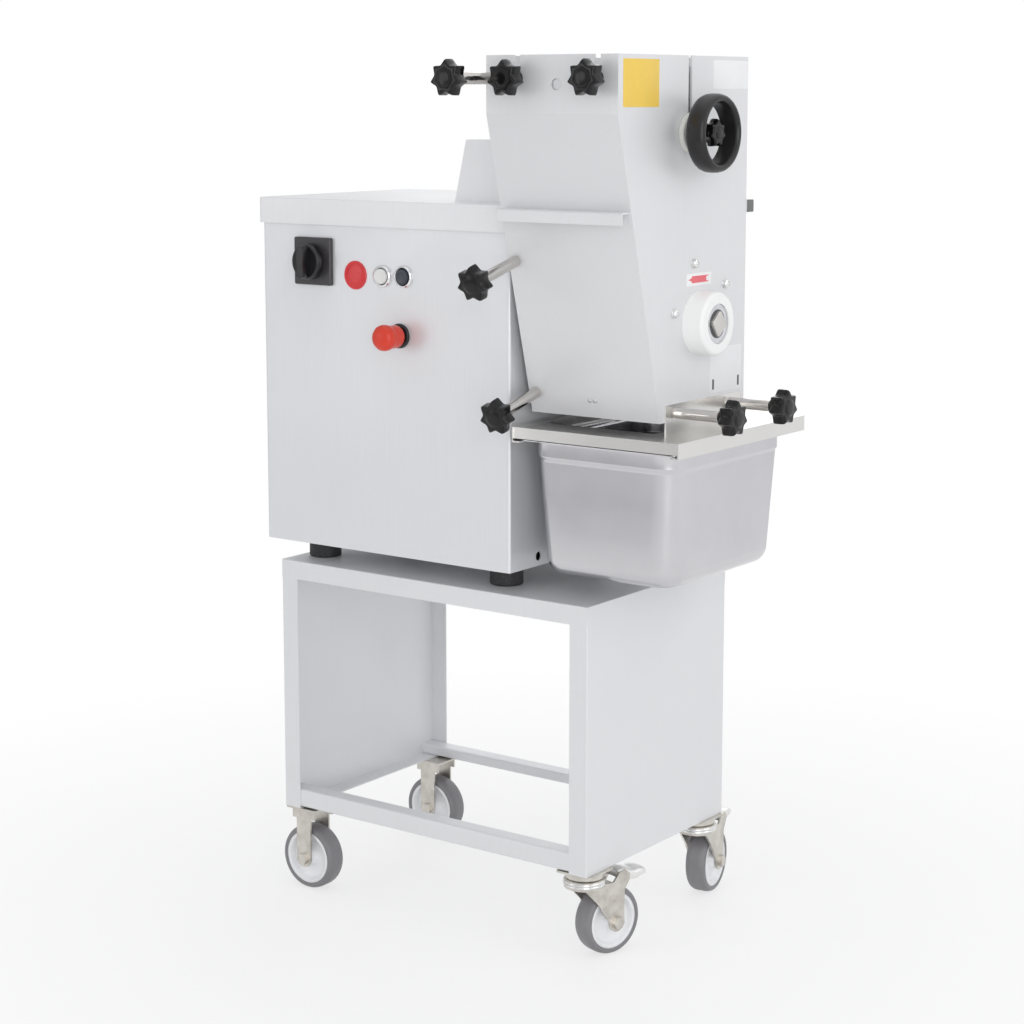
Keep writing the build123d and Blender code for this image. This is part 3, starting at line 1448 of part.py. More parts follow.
pieces = [
    trolley_deck.part,
    panel_left.part,
    panel_right.part,
    stretcher_front.part,
    stretcher_rear.part,
    fork_front.part,
    fork_rear.part,
    plate_front.part,
    plate_rear.part,
    swivel_fork_front,
    swivel_fork_rear,
    pedal_front,
    pedal_rear,
    hub_lf,
    tyre_lf,
    hub_lr,
    tyre_lr,
    hub_rf,
    tyre_rf,
    hub_rr,
    tyre_rr,
    housing_body.part,
    housing_base.part,
    housing_lid.part,
    rubber_feet.part,
    neck_cover.part,
    switch_plate.part,
    switch_knob.part,
    badge_disc.part,
    button_bezels.part,
    start_button.part,
    stop_button.part,
    estop_button.part,
    contact_blocks.part,
    cable_gland.part,
    gearbox.part,
    drive_motor.part,
    drive_shaft.part,
    head_plate_left.part,
    head_plate_right.part,
    head_plate_back.part,
    head_front.part,
    tie_bars.part,
    stripper_combs.part,
    bearing_hub.part,
    knife_shaft_front.part,
    knife_shaft_rear.part,
    feed_chute.part,
    flap_spindle.part,
    handwheel.part,
    rod_top.part,
    rod_mid.part,
    rod_low.part,
    knob_left.part,
    knob_right.part,
    spindle_knob.part,
    knob_c1.part,
    knob_c2.part,
    pan_carrier.part,
    food_pan.part,
]
for piece in pieces:
    export_step(piece, f"parts/{piece.label}.step")
print(len(pieces), "pieces")
print("frame offset", x0, y0)
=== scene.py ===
# %% [markdown]
# # Looks of a slicing machine on its trolley
# The machine's working shape comes from the CAD model and is not touched here.
# This lesson gives every CAD part its finish and adds the pieces whose charm is in
# soft edges: star grips, handwheel, wheels, pan, pedals, buttons and the blank plates.

# %% Load the frame
import json
import math

import bmesh
import bpy
from mathutils import Matrix, Vector


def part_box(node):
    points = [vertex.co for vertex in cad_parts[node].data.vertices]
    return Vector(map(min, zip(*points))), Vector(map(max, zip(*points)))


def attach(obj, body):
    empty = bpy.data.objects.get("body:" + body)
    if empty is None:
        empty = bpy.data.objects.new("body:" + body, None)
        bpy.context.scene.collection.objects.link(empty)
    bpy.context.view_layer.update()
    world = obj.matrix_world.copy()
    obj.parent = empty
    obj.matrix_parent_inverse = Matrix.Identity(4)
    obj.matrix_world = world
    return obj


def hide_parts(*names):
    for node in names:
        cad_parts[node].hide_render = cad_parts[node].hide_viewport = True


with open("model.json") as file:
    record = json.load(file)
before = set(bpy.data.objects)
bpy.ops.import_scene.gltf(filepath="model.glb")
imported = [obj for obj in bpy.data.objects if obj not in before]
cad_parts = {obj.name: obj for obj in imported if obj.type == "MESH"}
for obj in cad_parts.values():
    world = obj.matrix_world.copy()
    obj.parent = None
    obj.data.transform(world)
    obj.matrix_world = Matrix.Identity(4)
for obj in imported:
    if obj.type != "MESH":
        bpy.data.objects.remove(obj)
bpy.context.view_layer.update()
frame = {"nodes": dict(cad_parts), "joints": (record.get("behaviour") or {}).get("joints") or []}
cad_nodes = frame["nodes"]
mm = 0.001

# %% [markdown]
# ## A small kit for node materials
# Every finish below is a Principled shader fed by a few texture nodes. `knit` adds one
# node and plugs in its inputs by name, so a recipe reads like a list of ingredients.

# %% Node helpers
def knit(tree, kind, ins=None, **settings):
    """Add one shader node, set its options, and feed or set its named inputs."""
    node = tree.nodes.new(kind)
    for option, value in settings.items():
        setattr(node, option, value)
    for socket_name, value in (ins or {}).items():
        socket = node.inputs[socket_name]
        if isinstance(value, bpy.types.NodeSocket):
            tree.links.new(value, socket)
        else:
            socket.default_value = value
    return node


def start_finish(name, metallic=0.0, **constants):
    """A new material with one Principled shader; constants sit on its own sockets."""
    finish = bpy.data.materials.new(name)
    finish.use_nodes = True
    tree = finish.node_tree
    tree.nodes.clear()
    shader = knit(tree, "ShaderNodeBsdfPrincipled", {"Metallic": metallic})
    for socket_name, value in constants.items():
        shader.inputs[socket_name.replace("_", " ")].default_value = value
    knit(tree, "ShaderNodeOutputMaterial", {"Surface": shader.outputs[0]})
    return finish, tree, shader


def object_place(tree):
    """Object coordinates, which are the frame's own metres."""
    return knit(tree, "ShaderNodeTexCoord").outputs["Object"]


def maths(tree, operation, *values):
    """One Math node on a value or two, numbers or sockets."""
    ins = dict(enumerate(values))
    return knit(tree, "ShaderNodeMath", ins, operation=operation).outputs[0]


def stretch(tree, value, low, high, to_low, to_high):
    """Map a texture value from the range it has to the range a socket wants."""
    return knit(tree, "ShaderNodeMapRange", {
        "Value": value, "From Min": low, "From Max": high, "To Min": to_low, "To Max": to_high,
    }).outputs[0]


def blend_tone(tree, amount, first, second):
    """Mix two colours (or sockets) by an amount; 6 and 7 are a Mix node's colour inputs."""
    ins = {0: amount, 6: first, 7: second}
    return knit(tree, "ShaderNodeMix", ins, data_type="RGBA").outputs[2]


def shade_of(colour, factor=1.0):
    """A darker or paler tone of a colour, opaque and never past white."""
    return (*(min(1.0, c * factor) for c in colour), 1.0)


NOISE_LOW, NOISE_HIGH = 0.3, 0.7  # most of a noise lies between these


def noise(tree, place, scale, detail=3.0, roughness=0.55):
    """Noise from 0 to 1."""
    ins = {"Vector": place, "Scale": scale, "Detail": detail, "Roughness": roughness}
    return knit(tree, "ShaderNodeTexNoise", ins).outputs[0]


def two_tone(tree, pattern, first, second, low=NOISE_LOW, high=NOISE_HIGH):
    """Let a pattern run from one colour to the other."""
    return blend_tone(tree, stretch(tree, pattern, low, high, 0.0, 1.0), first, second)


def around(tree, pattern, middle, below, above):
    """Let a pattern sway a value about its middle."""
    return stretch(tree, pattern, NOISE_LOW, NOISE_HIGH, middle - below, middle + above)


def relief(tree, shader, height, strength, depth):
    """Bump the surface by a pattern, its depth in metres."""
    ins = {"Height": height, "Strength": strength, "Distance": depth}
    tree.links.new(knit(tree, "ShaderNodeBump", ins).outputs[0], shader.inputs["Normal"])


# %% [markdown]
# ## Sheet steel
# Stainless sheet leaves the mill with a fine straight grain. On the upright faces it runs
# up the sheet, on the level faces it runs front to back, so two stretched noises are made
# and the face's own normal picks one. Slow clouds in the roughness stand for handling.

# %% Steel recipe
ACROSS_GRAIN, ALONG_GRAIN = 900.0, 9.0  # scales of the stretched noise
CLOUD_SCALE = 6.0
LEVEL_FROM = 0.7  # a face counts as level from this height of its normal
HANDLED_TONE = 0.86
GRAIN_DEPTH = 0.0002


def grained_steel(name, colour, rough, metal, lift, bump, along="Z", cloud=0.05,
                  streak=0.04):
    """Brushed sheet with its grain up the walls (Z) or front to back (Y)."""
    finish, tree, shader = start_finish(name, metal)
    place = object_place(tree)
    level = (ACROSS_GRAIN, ALONG_GRAIN, ACROSS_GRAIN)
    upright = (ACROSS_GRAIN, ACROSS_GRAIN, ALONG_GRAIN) if along == "Z" else level
    grains = []
    for scale in (upright, level):
        laid = knit(tree, "ShaderNodeMapping", {"Vector": place, "Scale": scale}).outputs[0]
        grains.append(noise(tree, laid, 1.0, 2.0))
    normal = knit(tree, "ShaderNodeNewGeometry").outputs["Normal"]
    lean = knit(tree, "ShaderNodeSeparateXYZ", {"Vector": normal}).outputs[2]
    is_level = maths(tree, "GREATER_THAN", maths(tree, "ABSOLUTE", lean), LEVEL_FROM)
    pick = {0: is_level, 2: grains[0], 3: grains[1]}
    grain = knit(tree, "ShaderNodeMix", pick, data_type="FLOAT").outputs[0]
    clouds = noise(tree, place, CLOUD_SCALE, 4.0)
    brushed = two_tone(tree, grain, shade_of(colour, 1 - lift), shade_of(colour, 1 + lift))
    touched = stretch(tree, clouds, 0.45, 0.75, 0.0, cloud * 2.0)
    toned = blend_tone(tree, touched, brushed, shade_of(colour, HANDLED_TONE))
    tree.links.new(toned, shader.inputs["Base Color"])
    handled = around(tree, clouds, rough, cloud, cloud)
    streaked = maths(tree, "ADD", handled, around(tree, grain, 0.0, streak, streak))
    tree.links.new(streaked, shader.inputs["Roughness"])
    relief(tree, shader, grain, bump, GRAIN_DEPTH)
    return finish


satin_sheet = grained_steel(
    "satin_sheet", (0.78, 0.785, 0.80), 0.5, metal=0.25, bump=0.02, lift=0.012)
housing_sheet = grained_steel(
    "housing_sheet", (0.765, 0.772, 0.792), 0.40, metal=0.38, bump=0.02, lift=0.018, streak=0.03)
lid_sheet = grained_steel(
    "lid_sheet", (0.845, 0.845, 0.86), 0.48, metal=0.25, bump=0.02, lift=0.015)
head_sheet = grained_steel(
    "head_sheet", (0.775, 0.778, 0.792), 0.46, metal=0.24, bump=0.02, lift=0.014, streak=0.03)
polished_carrier = grained_steel(
    "polished_carrier", (0.72, 0.71, 0.69), 0.24, along="Y", metal=0.9, lift=0.008, bump=0.003,
    cloud=0.03, streak=0.008)
pedal_steel = grained_steel(
    "pedal_steel", (0.80, 0.795, 0.78), 0.34, along="Y", metal=0.55, lift=0.03, bump=0.006,
    cloud=0.06)
sheets = (satin_sheet, housing_sheet, lid_sheet, head_sheet, polished_carrier, pedal_steel)
print("sheet finishes:", len(sheets))

# %% [markdown]
# ## Castings, zinc and drawn steel
# Zinc plate on pressed forks shows soft grey blotches with a warm tint. Castings have a
# pebbled paint, knives are ground, and the drawn pan has only slow changes of tone.

# %% Other metals
SPECK_RATIO = 12  # specks are this much finer than the blotches
SPECK_DEPTH = 0.0003


def blotched_metal(name, colour, second, rough, size, spread=0.08, bump=0.1, metal=1.0):
    """Metal or paint that drifts between two tones, with a fine speckled relief."""
    finish, tree, shader = start_finish(name, metal)
    place = object_place(tree)
    patches = noise(tree, place, size, 5.0, 0.6)
    specks = noise(tree, place, size * SPECK_RATIO, 2.0)
    toned = two_tone(tree, patches, shade_of(colour), shade_of(second), 0.35, 0.65)
    tree.links.new(toned, shader.inputs["Base Color"])
    tree.links.new(around(tree, patches, rough, spread, spread), shader.inputs["Roughness"])
    relief(tree, shader, specks, bump, SPECK_DEPTH)
    return finish


zinc_plate = blotched_metal(
    "zinc_plate", (0.50, 0.475, 0.43), (0.68, 0.655, 0.61), 0.34, 45.0, metal=0.9)
bolt_steel = blotched_metal(
    "bolt_steel", (0.70, 0.70, 0.69), (0.80, 0.80, 0.80), 0.24, 120.0, bump=0.04)
knife_steel = blotched_metal(
    "knife_steel", (0.60, 0.61, 0.63), (0.72, 0.73, 0.75), 0.2, 90.0, bump=0.03)
ground_end = blotched_metal(
    "ground_end", (0.60, 0.575, 0.55), (0.66, 0.64, 0.61), 0.42, 20.0, bump=0.03, metal=0.6)
machined = blotched_metal(
    "machined", (0.55, 0.55, 0.56), (0.63, 0.63, 0.64), 0.3, 60.0)
cast_paint = blotched_metal(
    "cast_paint", (0.24, 0.26, 0.28), (0.28, 0.30, 0.32), 0.5, 30.0, bump=0.5, metal=0.0)
bezel_chrome = blotched_metal(
    "bezel_chrome", (0.74, 0.74, 0.75), (0.84, 0.84, 0.85), 0.12, 80.0, spread=0.04, bump=0.02)
drawn_steel = blotched_metal(
    "drawn_steel", (0.585, 0.58, 0.605), (0.625, 0.62, 0.645), 0.22, 6.0, spread=0.03, bump=0.0)
print("metals ready")

# %% [markdown]
# Turned rods and rings keep the lathe's fine feed marks. The pieces made further down
# carry an attribute `along`, their height on the lathe, and the rings follow it.

# %% Turned steel
FEED_LIFT, FEED_BUMP, FEED_DEPTH = 0.06, 0.08, 0.00015
SHEEN_SCALE = 60.0


def turned(name, colour, rough, rings):
    """Lathe-turned steel with so many rings per metre."""
    finish, tree, shader = start_finish(name, 1.0)
    height = knit(tree, "ShaderNodeAttribute", attribute_name="along").outputs["Fac"]
    feed = noise(tree, knit(tree, "ShaderNodeCombineXYZ", {"X": height}).outputs[0], rings)
    clouds = noise(tree, object_place(tree), SHEEN_SCALE)
    tones = shade_of(colour, 1 - FEED_LIFT), shade_of(colour, 1 + FEED_LIFT)
    tree.links.new(two_tone(tree, feed, *tones, 0.35, 0.65), shader.inputs["Base Color"])
    tree.links.new(around(tree, clouds, rough, 0.05, 0.06), shader.inputs["Roughness"])
    relief(tree, shader, feed, FEED_BUMP, FEED_DEPTH)
    return finish


rod_steel = turned("rod_steel", (0.60, 0.575, 0.55), 0.13, 2600.0)
turned_ring = turned("turned_ring", (0.42, 0.42, 0.43), 0.3, 1800.0)

# %% [markdown]
# ## Plastics and rubber
# Moulded parts are never one flat tone: the surface has a faint orange peel, a little
# dust in the matt areas and a slow change of gloss. Near-black grips take less specular.

# %% Plastic recipe
SLOW_SCALE, DUST_SCALE = 22.0, 420.0
DUST_TONE = (0.55, 0.54, 0.53, 1.0)
GLOSS_SPREAD = 0.06
PEEL_DEPTH = 0.0004


def moulded(name, colour, rough, peel=140.0, bump=0.12, lift=0.08, dust=0.0, **constants):
    """Moulded plastic or rubber with orange peel, and dust where asked."""
    finish, tree, shader = start_finish(name, **constants)
    place = object_place(tree)
    skin = noise(tree, place, peel)
    slow = noise(tree, place, SLOW_SCALE, 4.0)
    toned = two_tone(tree, slow, shade_of(colour, 1 - lift), shade_of(colour, 1 + lift))
    if dust:
        specks = stretch(tree, noise(tree, place, DUST_SCALE, 2.0), 0.55, 0.8, 0.0, dust)
        toned = blend_tone(tree, specks, toned, DUST_TONE)
    tree.links.new(toned, shader.inputs["Base Color"])
    gloss = around(tree, slow, rough, GLOSS_SPREAD, GLOSS_SPREAD)
    tree.links.new(gloss, shader.inputs["Roughness"])
    relief(tree, shader, skin, bump, PEEL_DEPTH)
    return finish


phenolic = moulded(
    "phenolic", (0.007, 0.0065, 0.007), 0.2, bump=0.06, lift=0.2, Specular_IOR_Level=0.32)
wheel_lacquer = moulded(
    "wheel_lacquer", (0.017, 0.016, 0.017), 0.34, bump=0.08, lift=0.2, Specular_IOR_Level=0.38)
switch_plastic = moulded(
    "switch_plastic", (0.045, 0.042, 0.048), 0.42, peel=600.0, bump=0.25, lift=0.15)
knob_plastic = moulded("knob_plastic", (0.010, 0.0095, 0.0115), 0.3, peel=500.0, lift=0.2)
tyre_rubber = moulded(
    "tyre_rubber", (0.228, 0.223, 0.236), 0.42, peel=700.0, bump=0.25, dust=0.10)
foot_rubber = moulded(
    "foot_rubber", (0.028, 0.028, 0.032), 0.6, peel=500.0, bump=0.3, lift=0.2, dust=0.12)
lug_plastic = moulded("lug_plastic", (0.16, 0.16, 0.155), 0.4, peel=400.0, bump=0.1)
hub_nylon = moulded("hub_nylon", (0.90, 0.905, 0.92), 0.36, bump=0.06, lift=0.03)
bearing_nylon = moulded("bearing_nylon", (0.95, 0.95, 0.94), 0.4, bump=0.04, lift=0.015)
cream_disc = moulded("cream_disc", (0.82, 0.82, 0.77), 0.4, bump=0.05, lift=0.03)
stop_red = moulded(
    "stop_red", (0.72, 0.05, 0.024), 0.32, bump=0.06, lift=0.07, Specular_IOR_Level=0.4)
badge_red = moulded(
    "badge_red", (0.70, 0.045, 0.05), 0.3, bump=0.05, Specular_IOR_Level=0.4)
button_white = moulded("button_white", (0.80, 0.80, 0.78), 0.32, bump=0.05, lift=0.03)
button_dark = moulded("button_dark", (0.035, 0.042, 0.058), 0.3, bump=0.05, lift=0.15)


def printed(name, colour, rough, lift, bump=0.04):
    """Film or ink on a plate, with a skin finer than that of a moulding."""
    return moulded(name, colour, rough, peel=300.0, bump=bump, lift=lift)


yellow_film = printed("yellow_film", (0.90, 0.62, 0.11), 0.45, 0.04, bump=0.05)
white_film = printed("white_film", (0.93, 0.93, 0.93), 0.42, 0.02)
pale_film = printed("pale_film", (0.87, 0.875, 0.89), 0.4, 0.02)
ink_red = printed("ink_red", (0.84, 0.16, 0.19), 0.45, 0.05)
# This grey is the real ink of the plate bars and also the painted shade of the gap disc at the
# shaft end.
ink_and_shade_grey = printed("ink_and_shade_grey", (0.075, 0.075, 0.08), 0.45, 0.1)
print("materials, with those of the CAD parts:", len(bpy.data.materials))

# %% [markdown]
# ## Dress the CAD parts
# The sheet metal, forks and inner works already have the right shape, so they only
# change material. A CAD part is never moved; its object's slots take the new finish.

# %% Finish for each CAD part
finish_of = {
    satin_sheet: ["trolley_deck", "panel_left", "panel_right",
                  "stretcher_front", "stretcher_rear"],
    housing_sheet: ["housing_body", "housing_base"],
    lid_sheet: ["housing_lid", "neck_cover"],
    head_sheet: ["head_plate_left", "head_plate_right", "head_plate_back",
                 "head_front", "feed_chute"],
    polished_carrier: ["pan_carrier"],
    zinc_plate: ["rigid_fork_front", "rigid_fork_rear", "swivel_fork_front",
                 "swivel_fork_rear", "swivel_plate_front", "swivel_plate_rear"],
    knife_steel: ["knife_shaft_front", "knife_shaft_rear", "stripper_combs"],
    machined: ["drive_shaft"],
    cast_paint: ["gearbox", "drive_motor"],
    foot_rubber: ["rubber_feet", "cable_gland"],
    switch_plastic: ["switch_plate"],
    knob_plastic: ["contact_blocks"],
    bearing_nylon: ["bearing_hub"],
    cream_disc: ["flap_spindle"],
}
for finish, names in finish_of.items():
    for name in names:
        mesh = cad_nodes[name].data
        mesh.materials.clear()
        mesh.materials.append(finish)
print("CAD parts dressed:", sum(len(names) for names in finish_of.values()))

# %% [markdown]
# ## Shaping helpers
# A turned piece starts as a short chain of points beside the lathe's axis and is spun
# round it. A flat piece starts as a grid or a small outline that is extruded. Both are
# made upright at the origin, then a matrix sets them in place, so that the finished
# object itself stays at the origin like the CAD parts. Sizes are in millimetres.

# %% Place, spin, extrude and settle
RIGHT, FRONT, UP = (1, 0, 0), (0, -1, 0), (0, 0, 1)


def stand_at(foot, direction, up=UP):
    """Matrix that puts local Z along direction and local Y as near up as it can be."""
    z = Vector(direction).normalized()
    x = Vector(up).cross(z)
    if x.length < 1e-6:
        x = Vector(RIGHT)
    x.normalize()
    y = z.cross(x)
    turn = Matrix((x, y, z)).transposed().to_4x4()
    return Matrix.Translation(Vector(foot) * mm) @ turn


def middle_of(node):
    """Middle of a CAD part's box, in mm."""
    low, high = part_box(node)
    return (low + high) / 2 / mm


def new_verts(geom):
    """The vertices among what an operator made."""
    return [item for item in geom if isinstance(item, bmesh.types.BMVert)]


def new_edges(geom):
    """The edges among what an operator made."""
    return [item for item in geom if isinstance(item, bmesh.types.BMEdge)]


def faces_on(verts):
    """The faces that some vertices carry."""
    return list({face for vert in verts for face in vert.link_faces})


def extrude(bm, faces, rise=0.0):
    """Extrude faces up local Z and hand back the raised vertices."""
    raised = new_verts(bmesh.ops.extrude_face_region(bm, geom=faces)["geom"])
    if rise:
        bmesh.ops.translate(bm, verts=raised, vec=(0, 0, rise * mm))
    return raised


def lathe(bm, profile, steps):
    """Spin (radius, height) points once round local Z."""
    along = bm.verts.layers.float.get("along") or bm.verts.layers.float.new("along")
    chain = []
    for radius, height in profile:
        vert = bm.verts.new((radius * mm, 0, height * mm))
        vert[along] = height * mm
        chain.append(vert)
    edges = [bm.edges.new(pair) for pair in zip(chain, chain[1:])]
    bmesh.ops.spin(bm, geom=chain + edges, cent=(0, 0, 0), axis=UP, dvec=(0, 0, 0),
                   angle=math.tau, steps=steps, use_merge=True, use_duplicate=False)
    bmesh.ops.remove_doubles(bm, verts=bm.verts, dist=1e-6)


def mirrored(half):
    """A closed outline from half of it, mirrored about the middle of its axle."""
    lower = [(radius, -height) for radius, height in half]
    return lower + half[::-1] + lower[:1]


def bevel(bm, edges, width, segments, **options):
    """Round some edges."""
    bmesh.ops.bevel(bm, geom=edges, offset=width * mm, offset_type="OFFSET", affect="EDGES",
                    segments=segments, profile=0.5, material=-1, **options)


def soften(bm, width, segments=3, angle=28.0):
    """Round every edge that turns by more than the angle, in degrees."""
    bm.normal_update()
    sharp = [e for e in bm.edges
             if len(e.link_faces) == 2 and e.calc_face_angle(0) > math.radians(angle)]
    bevel(bm, sharp, width, segments, clamp_overlap=True)


def round_posts(bm, radius, segments, tall):
    """Round the upright edges of a slab, those that rise by more than tall."""
    posts = [e for e in bm.edges if abs(e.verts[0].co.z - e.verts[1].co.z) > tall * mm]
    bevel(bm, posts, radius, segments)


def lay_sheet(bm, width, height):
    """One flat rectangle about the origin."""
    bmesh.ops.create_grid(bm, x_segments=1, y_segments=1, size=0.5)
    bmesh.ops.scale(bm, vec=(width * mm, height * mm, 1.0), verts=bm.verts)


def settle(bm, name, body, finish, place, stands_for=(), smooth=40.0):
    """Turn the bmesh into a finished piece, set in its place, that rides on a body."""
    bmesh.ops.transform(bm, matrix=place, verts=bm.verts)
    bmesh.ops.recalc_face_normals(bm, faces=bm.faces)
    mesh = bpy.data.meshes.new(name)
    bm.to_mesh(mesh)
    bm.free()
    mesh.polygons.foreach_set("use_smooth", [True] * len(mesh.polygons))
    mesh.set_sharp_from_angle(angle=math.radians(smooth))
    mesh.materials.append(finish)
    piece = bpy.data.objects.new(name, mesh)
    bpy.context.scene.collection.objects.link(piece)
    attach(piece, body)
    if stands_for:
        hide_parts(*stands_for)
    return piece


def spin_piece(name, body, finish, place, profile, steps, stands_for=(), smooth=40.0):
    """A finished piece that is one turned outline."""
    bm = bmesh.new()
    lathe(bm, profile, steps)
    settle(bm, name, body, finish, place, stands_for, smooth)


# %% [markdown]
# ## Star grips on their rods
# The grips are seven-pointed phenolic mouldings. A circle is cut into 112 points, each
# pushed in or out by a wave with seven crests, and rings are extruded from it while the
# lobes fade towards the collar and the crown. Rods are turned steel.

# %% Star grip
LOBES, STAR_POINTS = 7, 112
CREST, TROUGH, ROUNDING = 1.06, 1.02, 0.004  # shape of the wave between two lobes


def star_rings(bm, rings):
    """Extrude a lobed ring through (height, outer radius, lobe depth) steps."""
    def lay(verts, height, outer, depth):
        """Lay a ring of points on the lobed outline at one height."""
        for vert in verts:
            angle = math.atan2(vert.co.y, vert.co.x)
            swing = math.sin(LOBES / 2 * (angle - math.pi / 2)) ** 2
            wave = CREST - TROUGH * math.sqrt(swing + ROUNDING)
            radius = (outer - depth * (1 - wave)) * mm
            vert.co = (radius * math.cos(angle), radius * math.sin(angle), height * mm)

    ring = bmesh.ops.create_circle(bm, cap_ends=False, radius=1.0, segments=STAR_POINTS)["verts"]
    edges = list({e for v in ring for e in v.link_edges})
    lay(ring, *rings[0])
    first = list(edges)
    for step in rings[1:]:
        made = bmesh.ops.extrude_edge_only(bm, edges=edges)["geom"]
        edges = new_edges(made)
        lay(new_verts(made), *step)
    bmesh.ops.contextual_create(bm, geom=first)
    bmesh.ops.contextual_create(bm, geom=edges)


def star_grip(name, body, foot, direction, reach, stands_for, across=50.0, collar=9.0,
              thick=22.0):
    """Star grip whose middle stands at its reach from the foot."""
    outer, base, crown = across / 2, reach - thick / 2, reach + thick / 2
    deep = across * 0.125
    bm = bmesh.new()
    star_rings(bm, [
        (base - collar, 9.2, 0.0), (base - collar + 1.0, 10.2, 0.0),
        (base - 1.5, 10.5, 0.0), (base - 0.2, 13.5, deep * 0.2),
        (base, outer - 3.4, deep * 0.8), (base + 0.8, outer - 1.2, deep),
        (base + 3.0, outer, deep), (crown - 6.5, outer - 0.2, deep),
        (crown - 3.6, outer - 0.9, deep), (crown - 2.1, outer - 2.2, deep * 0.95),
        (crown - 1.5, outer - 4.2, deep * 0.8), (crown - 1.6, outer * 0.66, deep * 0.35),
        (crown - 1.5, outer * 0.46, 0.0), (crown - 0.5, outer * 0.42, 0.0),
        (crown, outer * 0.34, 0.0), (crown, 1.5, 0.0),
    ])
    settle(bm, name, body, phenolic, stand_at(foot, direction), stands_for,
           smooth=50.0)


def clamp_rod(name, body, foot, direction, reach, diameter):
    """Turned rod from its foot into the grip, with a neck at the grip's collar."""
    radius = diameter / 2
    bm = bmesh.new()
    lathe(bm, [
        (0.0, 0.0), (radius - 1.4, 0.0), (radius - 1.4, 2.2), (radius, 3.2),
        (radius, reach - 21.5), (radius - 0.8, reach - 20.7), (radius - 0.8, reach - 13.0),
        (0.0, reach - 13.0),
    ], steps=56)
    soften(bm, 0.25, 2)
    settle(bm, name, body, rod_steel, stand_at(foot, direction))


# %% [markdown]
# The head gives the grips their places: its upright front with the fold below it, the
# slope that runs back from the fold, and the side plates.

# %% Grips and rods in place
plate_left, plate_right = 79.0, 291.5
front_y, fold_z = -206.0, 1200.8
slope_tilt = math.atan2(107.4, 416.2)  # the slope's run over its drop
slope_out = (0.0, -math.cos(slope_tilt), -math.sin(slope_tilt))
clamp_x, top_row_z = 92.5, 1247.4
carrier_face_x, carrier_row_z = 293.5, 796.1
spindle_y, spindle_z = -30.3, 1174.9


def on_slope(height):
    """Depth of the sloping front at a height."""
    return front_y + (fold_z - height) * math.tan(slope_tilt)


grips = [
    ("clamp_top", "clamp_knob_top", (clamp_x, front_y, top_row_z), FRONT, 100.0, 16.0),
    ("clamp_middle", "clamp_knob_middle",
     (clamp_x, on_slope(1000.8), 1000.8), slope_out, 100.0, 16.0),
    ("clamp_lower", "clamp_knob_lower",
     (clamp_x, on_slope(814.4), 814.4), slope_out, 98.0, 16.0),
    ("carrier_lock_front", "carrier_knob_front",
     (carrier_face_x, -63.5, carrier_row_z), RIGHT, 92.0, 15.5),
    ("carrier_lock_rear", "carrier_knob_rear",
     (carrier_face_x, 73.5, carrier_row_z), RIGHT, 92.0, 15.5),
]
for body, node, foot, direction, reach, diameter in grips:
    star_grip("grip_" + body, body, foot, direction, reach, stands_for=(node,))
    clamp_rod("rod_" + body, body, foot, direction, reach, diameter)
for side, x in (("left", 130.7), ("right", 259.6)):
    body = "chute_lock_" + side
    star_grip("grip_" + body, body, (x, front_y, top_row_z), FRONT, 28.0,
              stands_for=("chute_knob_" + side,), collar=16.5)
star_grip("grip_flap_lock", "flap_lock", (325.5, spindle_y, spindle_z), RIGHT, 6.3,
          stands_for=("spindle_knob",), across=39.0, collar=3.0, thick=16.0)
print("star grips:", len(grips) + 3)

# %% [markdown]
# ## Handwheel
# A deep-rimmed moulded wheel. The rim is one spun outline; the bar that carries it is a
# grid extruded to a slab, narrowed in its middle, and the boss is spun as well.

# %% Handwheel
bar_half, bar_width, bar_foot, bar_thick = 41.8, 15.0, 3.0, 5.0
bm = bmesh.new()
lathe(bm, [
    (39.6, 5.2), (40.4, 2.0), (43.0, 0.6), (47.5, 1.4), (51.0, 4.4), (52.6, 8.6),
    (53.0, 14.0), (52.8, 22.0), (51.6, 26.6), (49.2, 29.8), (46.4, 31.0), (43.6, 30.2),
    (41.6, 27.6), (40.7, 24.0), (40.5, 12.0), (39.6, 5.2),
], steps=128)
soften(bm, 0.6, 2, angle=30.0)
bar = bmesh.ops.create_grid(bm, x_segments=16, y_segments=2, size=1.0)["verts"]
for vert in bar:
    waist = 0.62 + 0.38 * abs(vert.co.x) ** 1.6
    vert.co = (vert.co.x * bar_half * mm, vert.co.y * bar_width * waist * mm, bar_foot * mm)
extrude(bm, faces_on(bar), bar_thick)
lathe(bm, [
    (4.3, -13.8), (11.0, -13.8), (11.8, -12.8), (12.6, 2.0), (13.2, 5.0), (12.4, 6.8),
    (4.3, 6.9), (4.3, -13.8),
], steps=64)
settle(bm, "handwheel_moulding", "flap", wheel_lacquer,
       stand_at((313.5, spindle_y, spindle_z), RIGHT), ("handwheel",))
print("handwheel done")

# %% [markdown]
# ## Trolley wheels
# A pale nylon centre carries a grey tyre. Both are spun from their half section: the
# centre has a recessed web between a thick boss and a raised ring, and the tyre has
# rounded shoulders with two fine mould lines beside the tread.

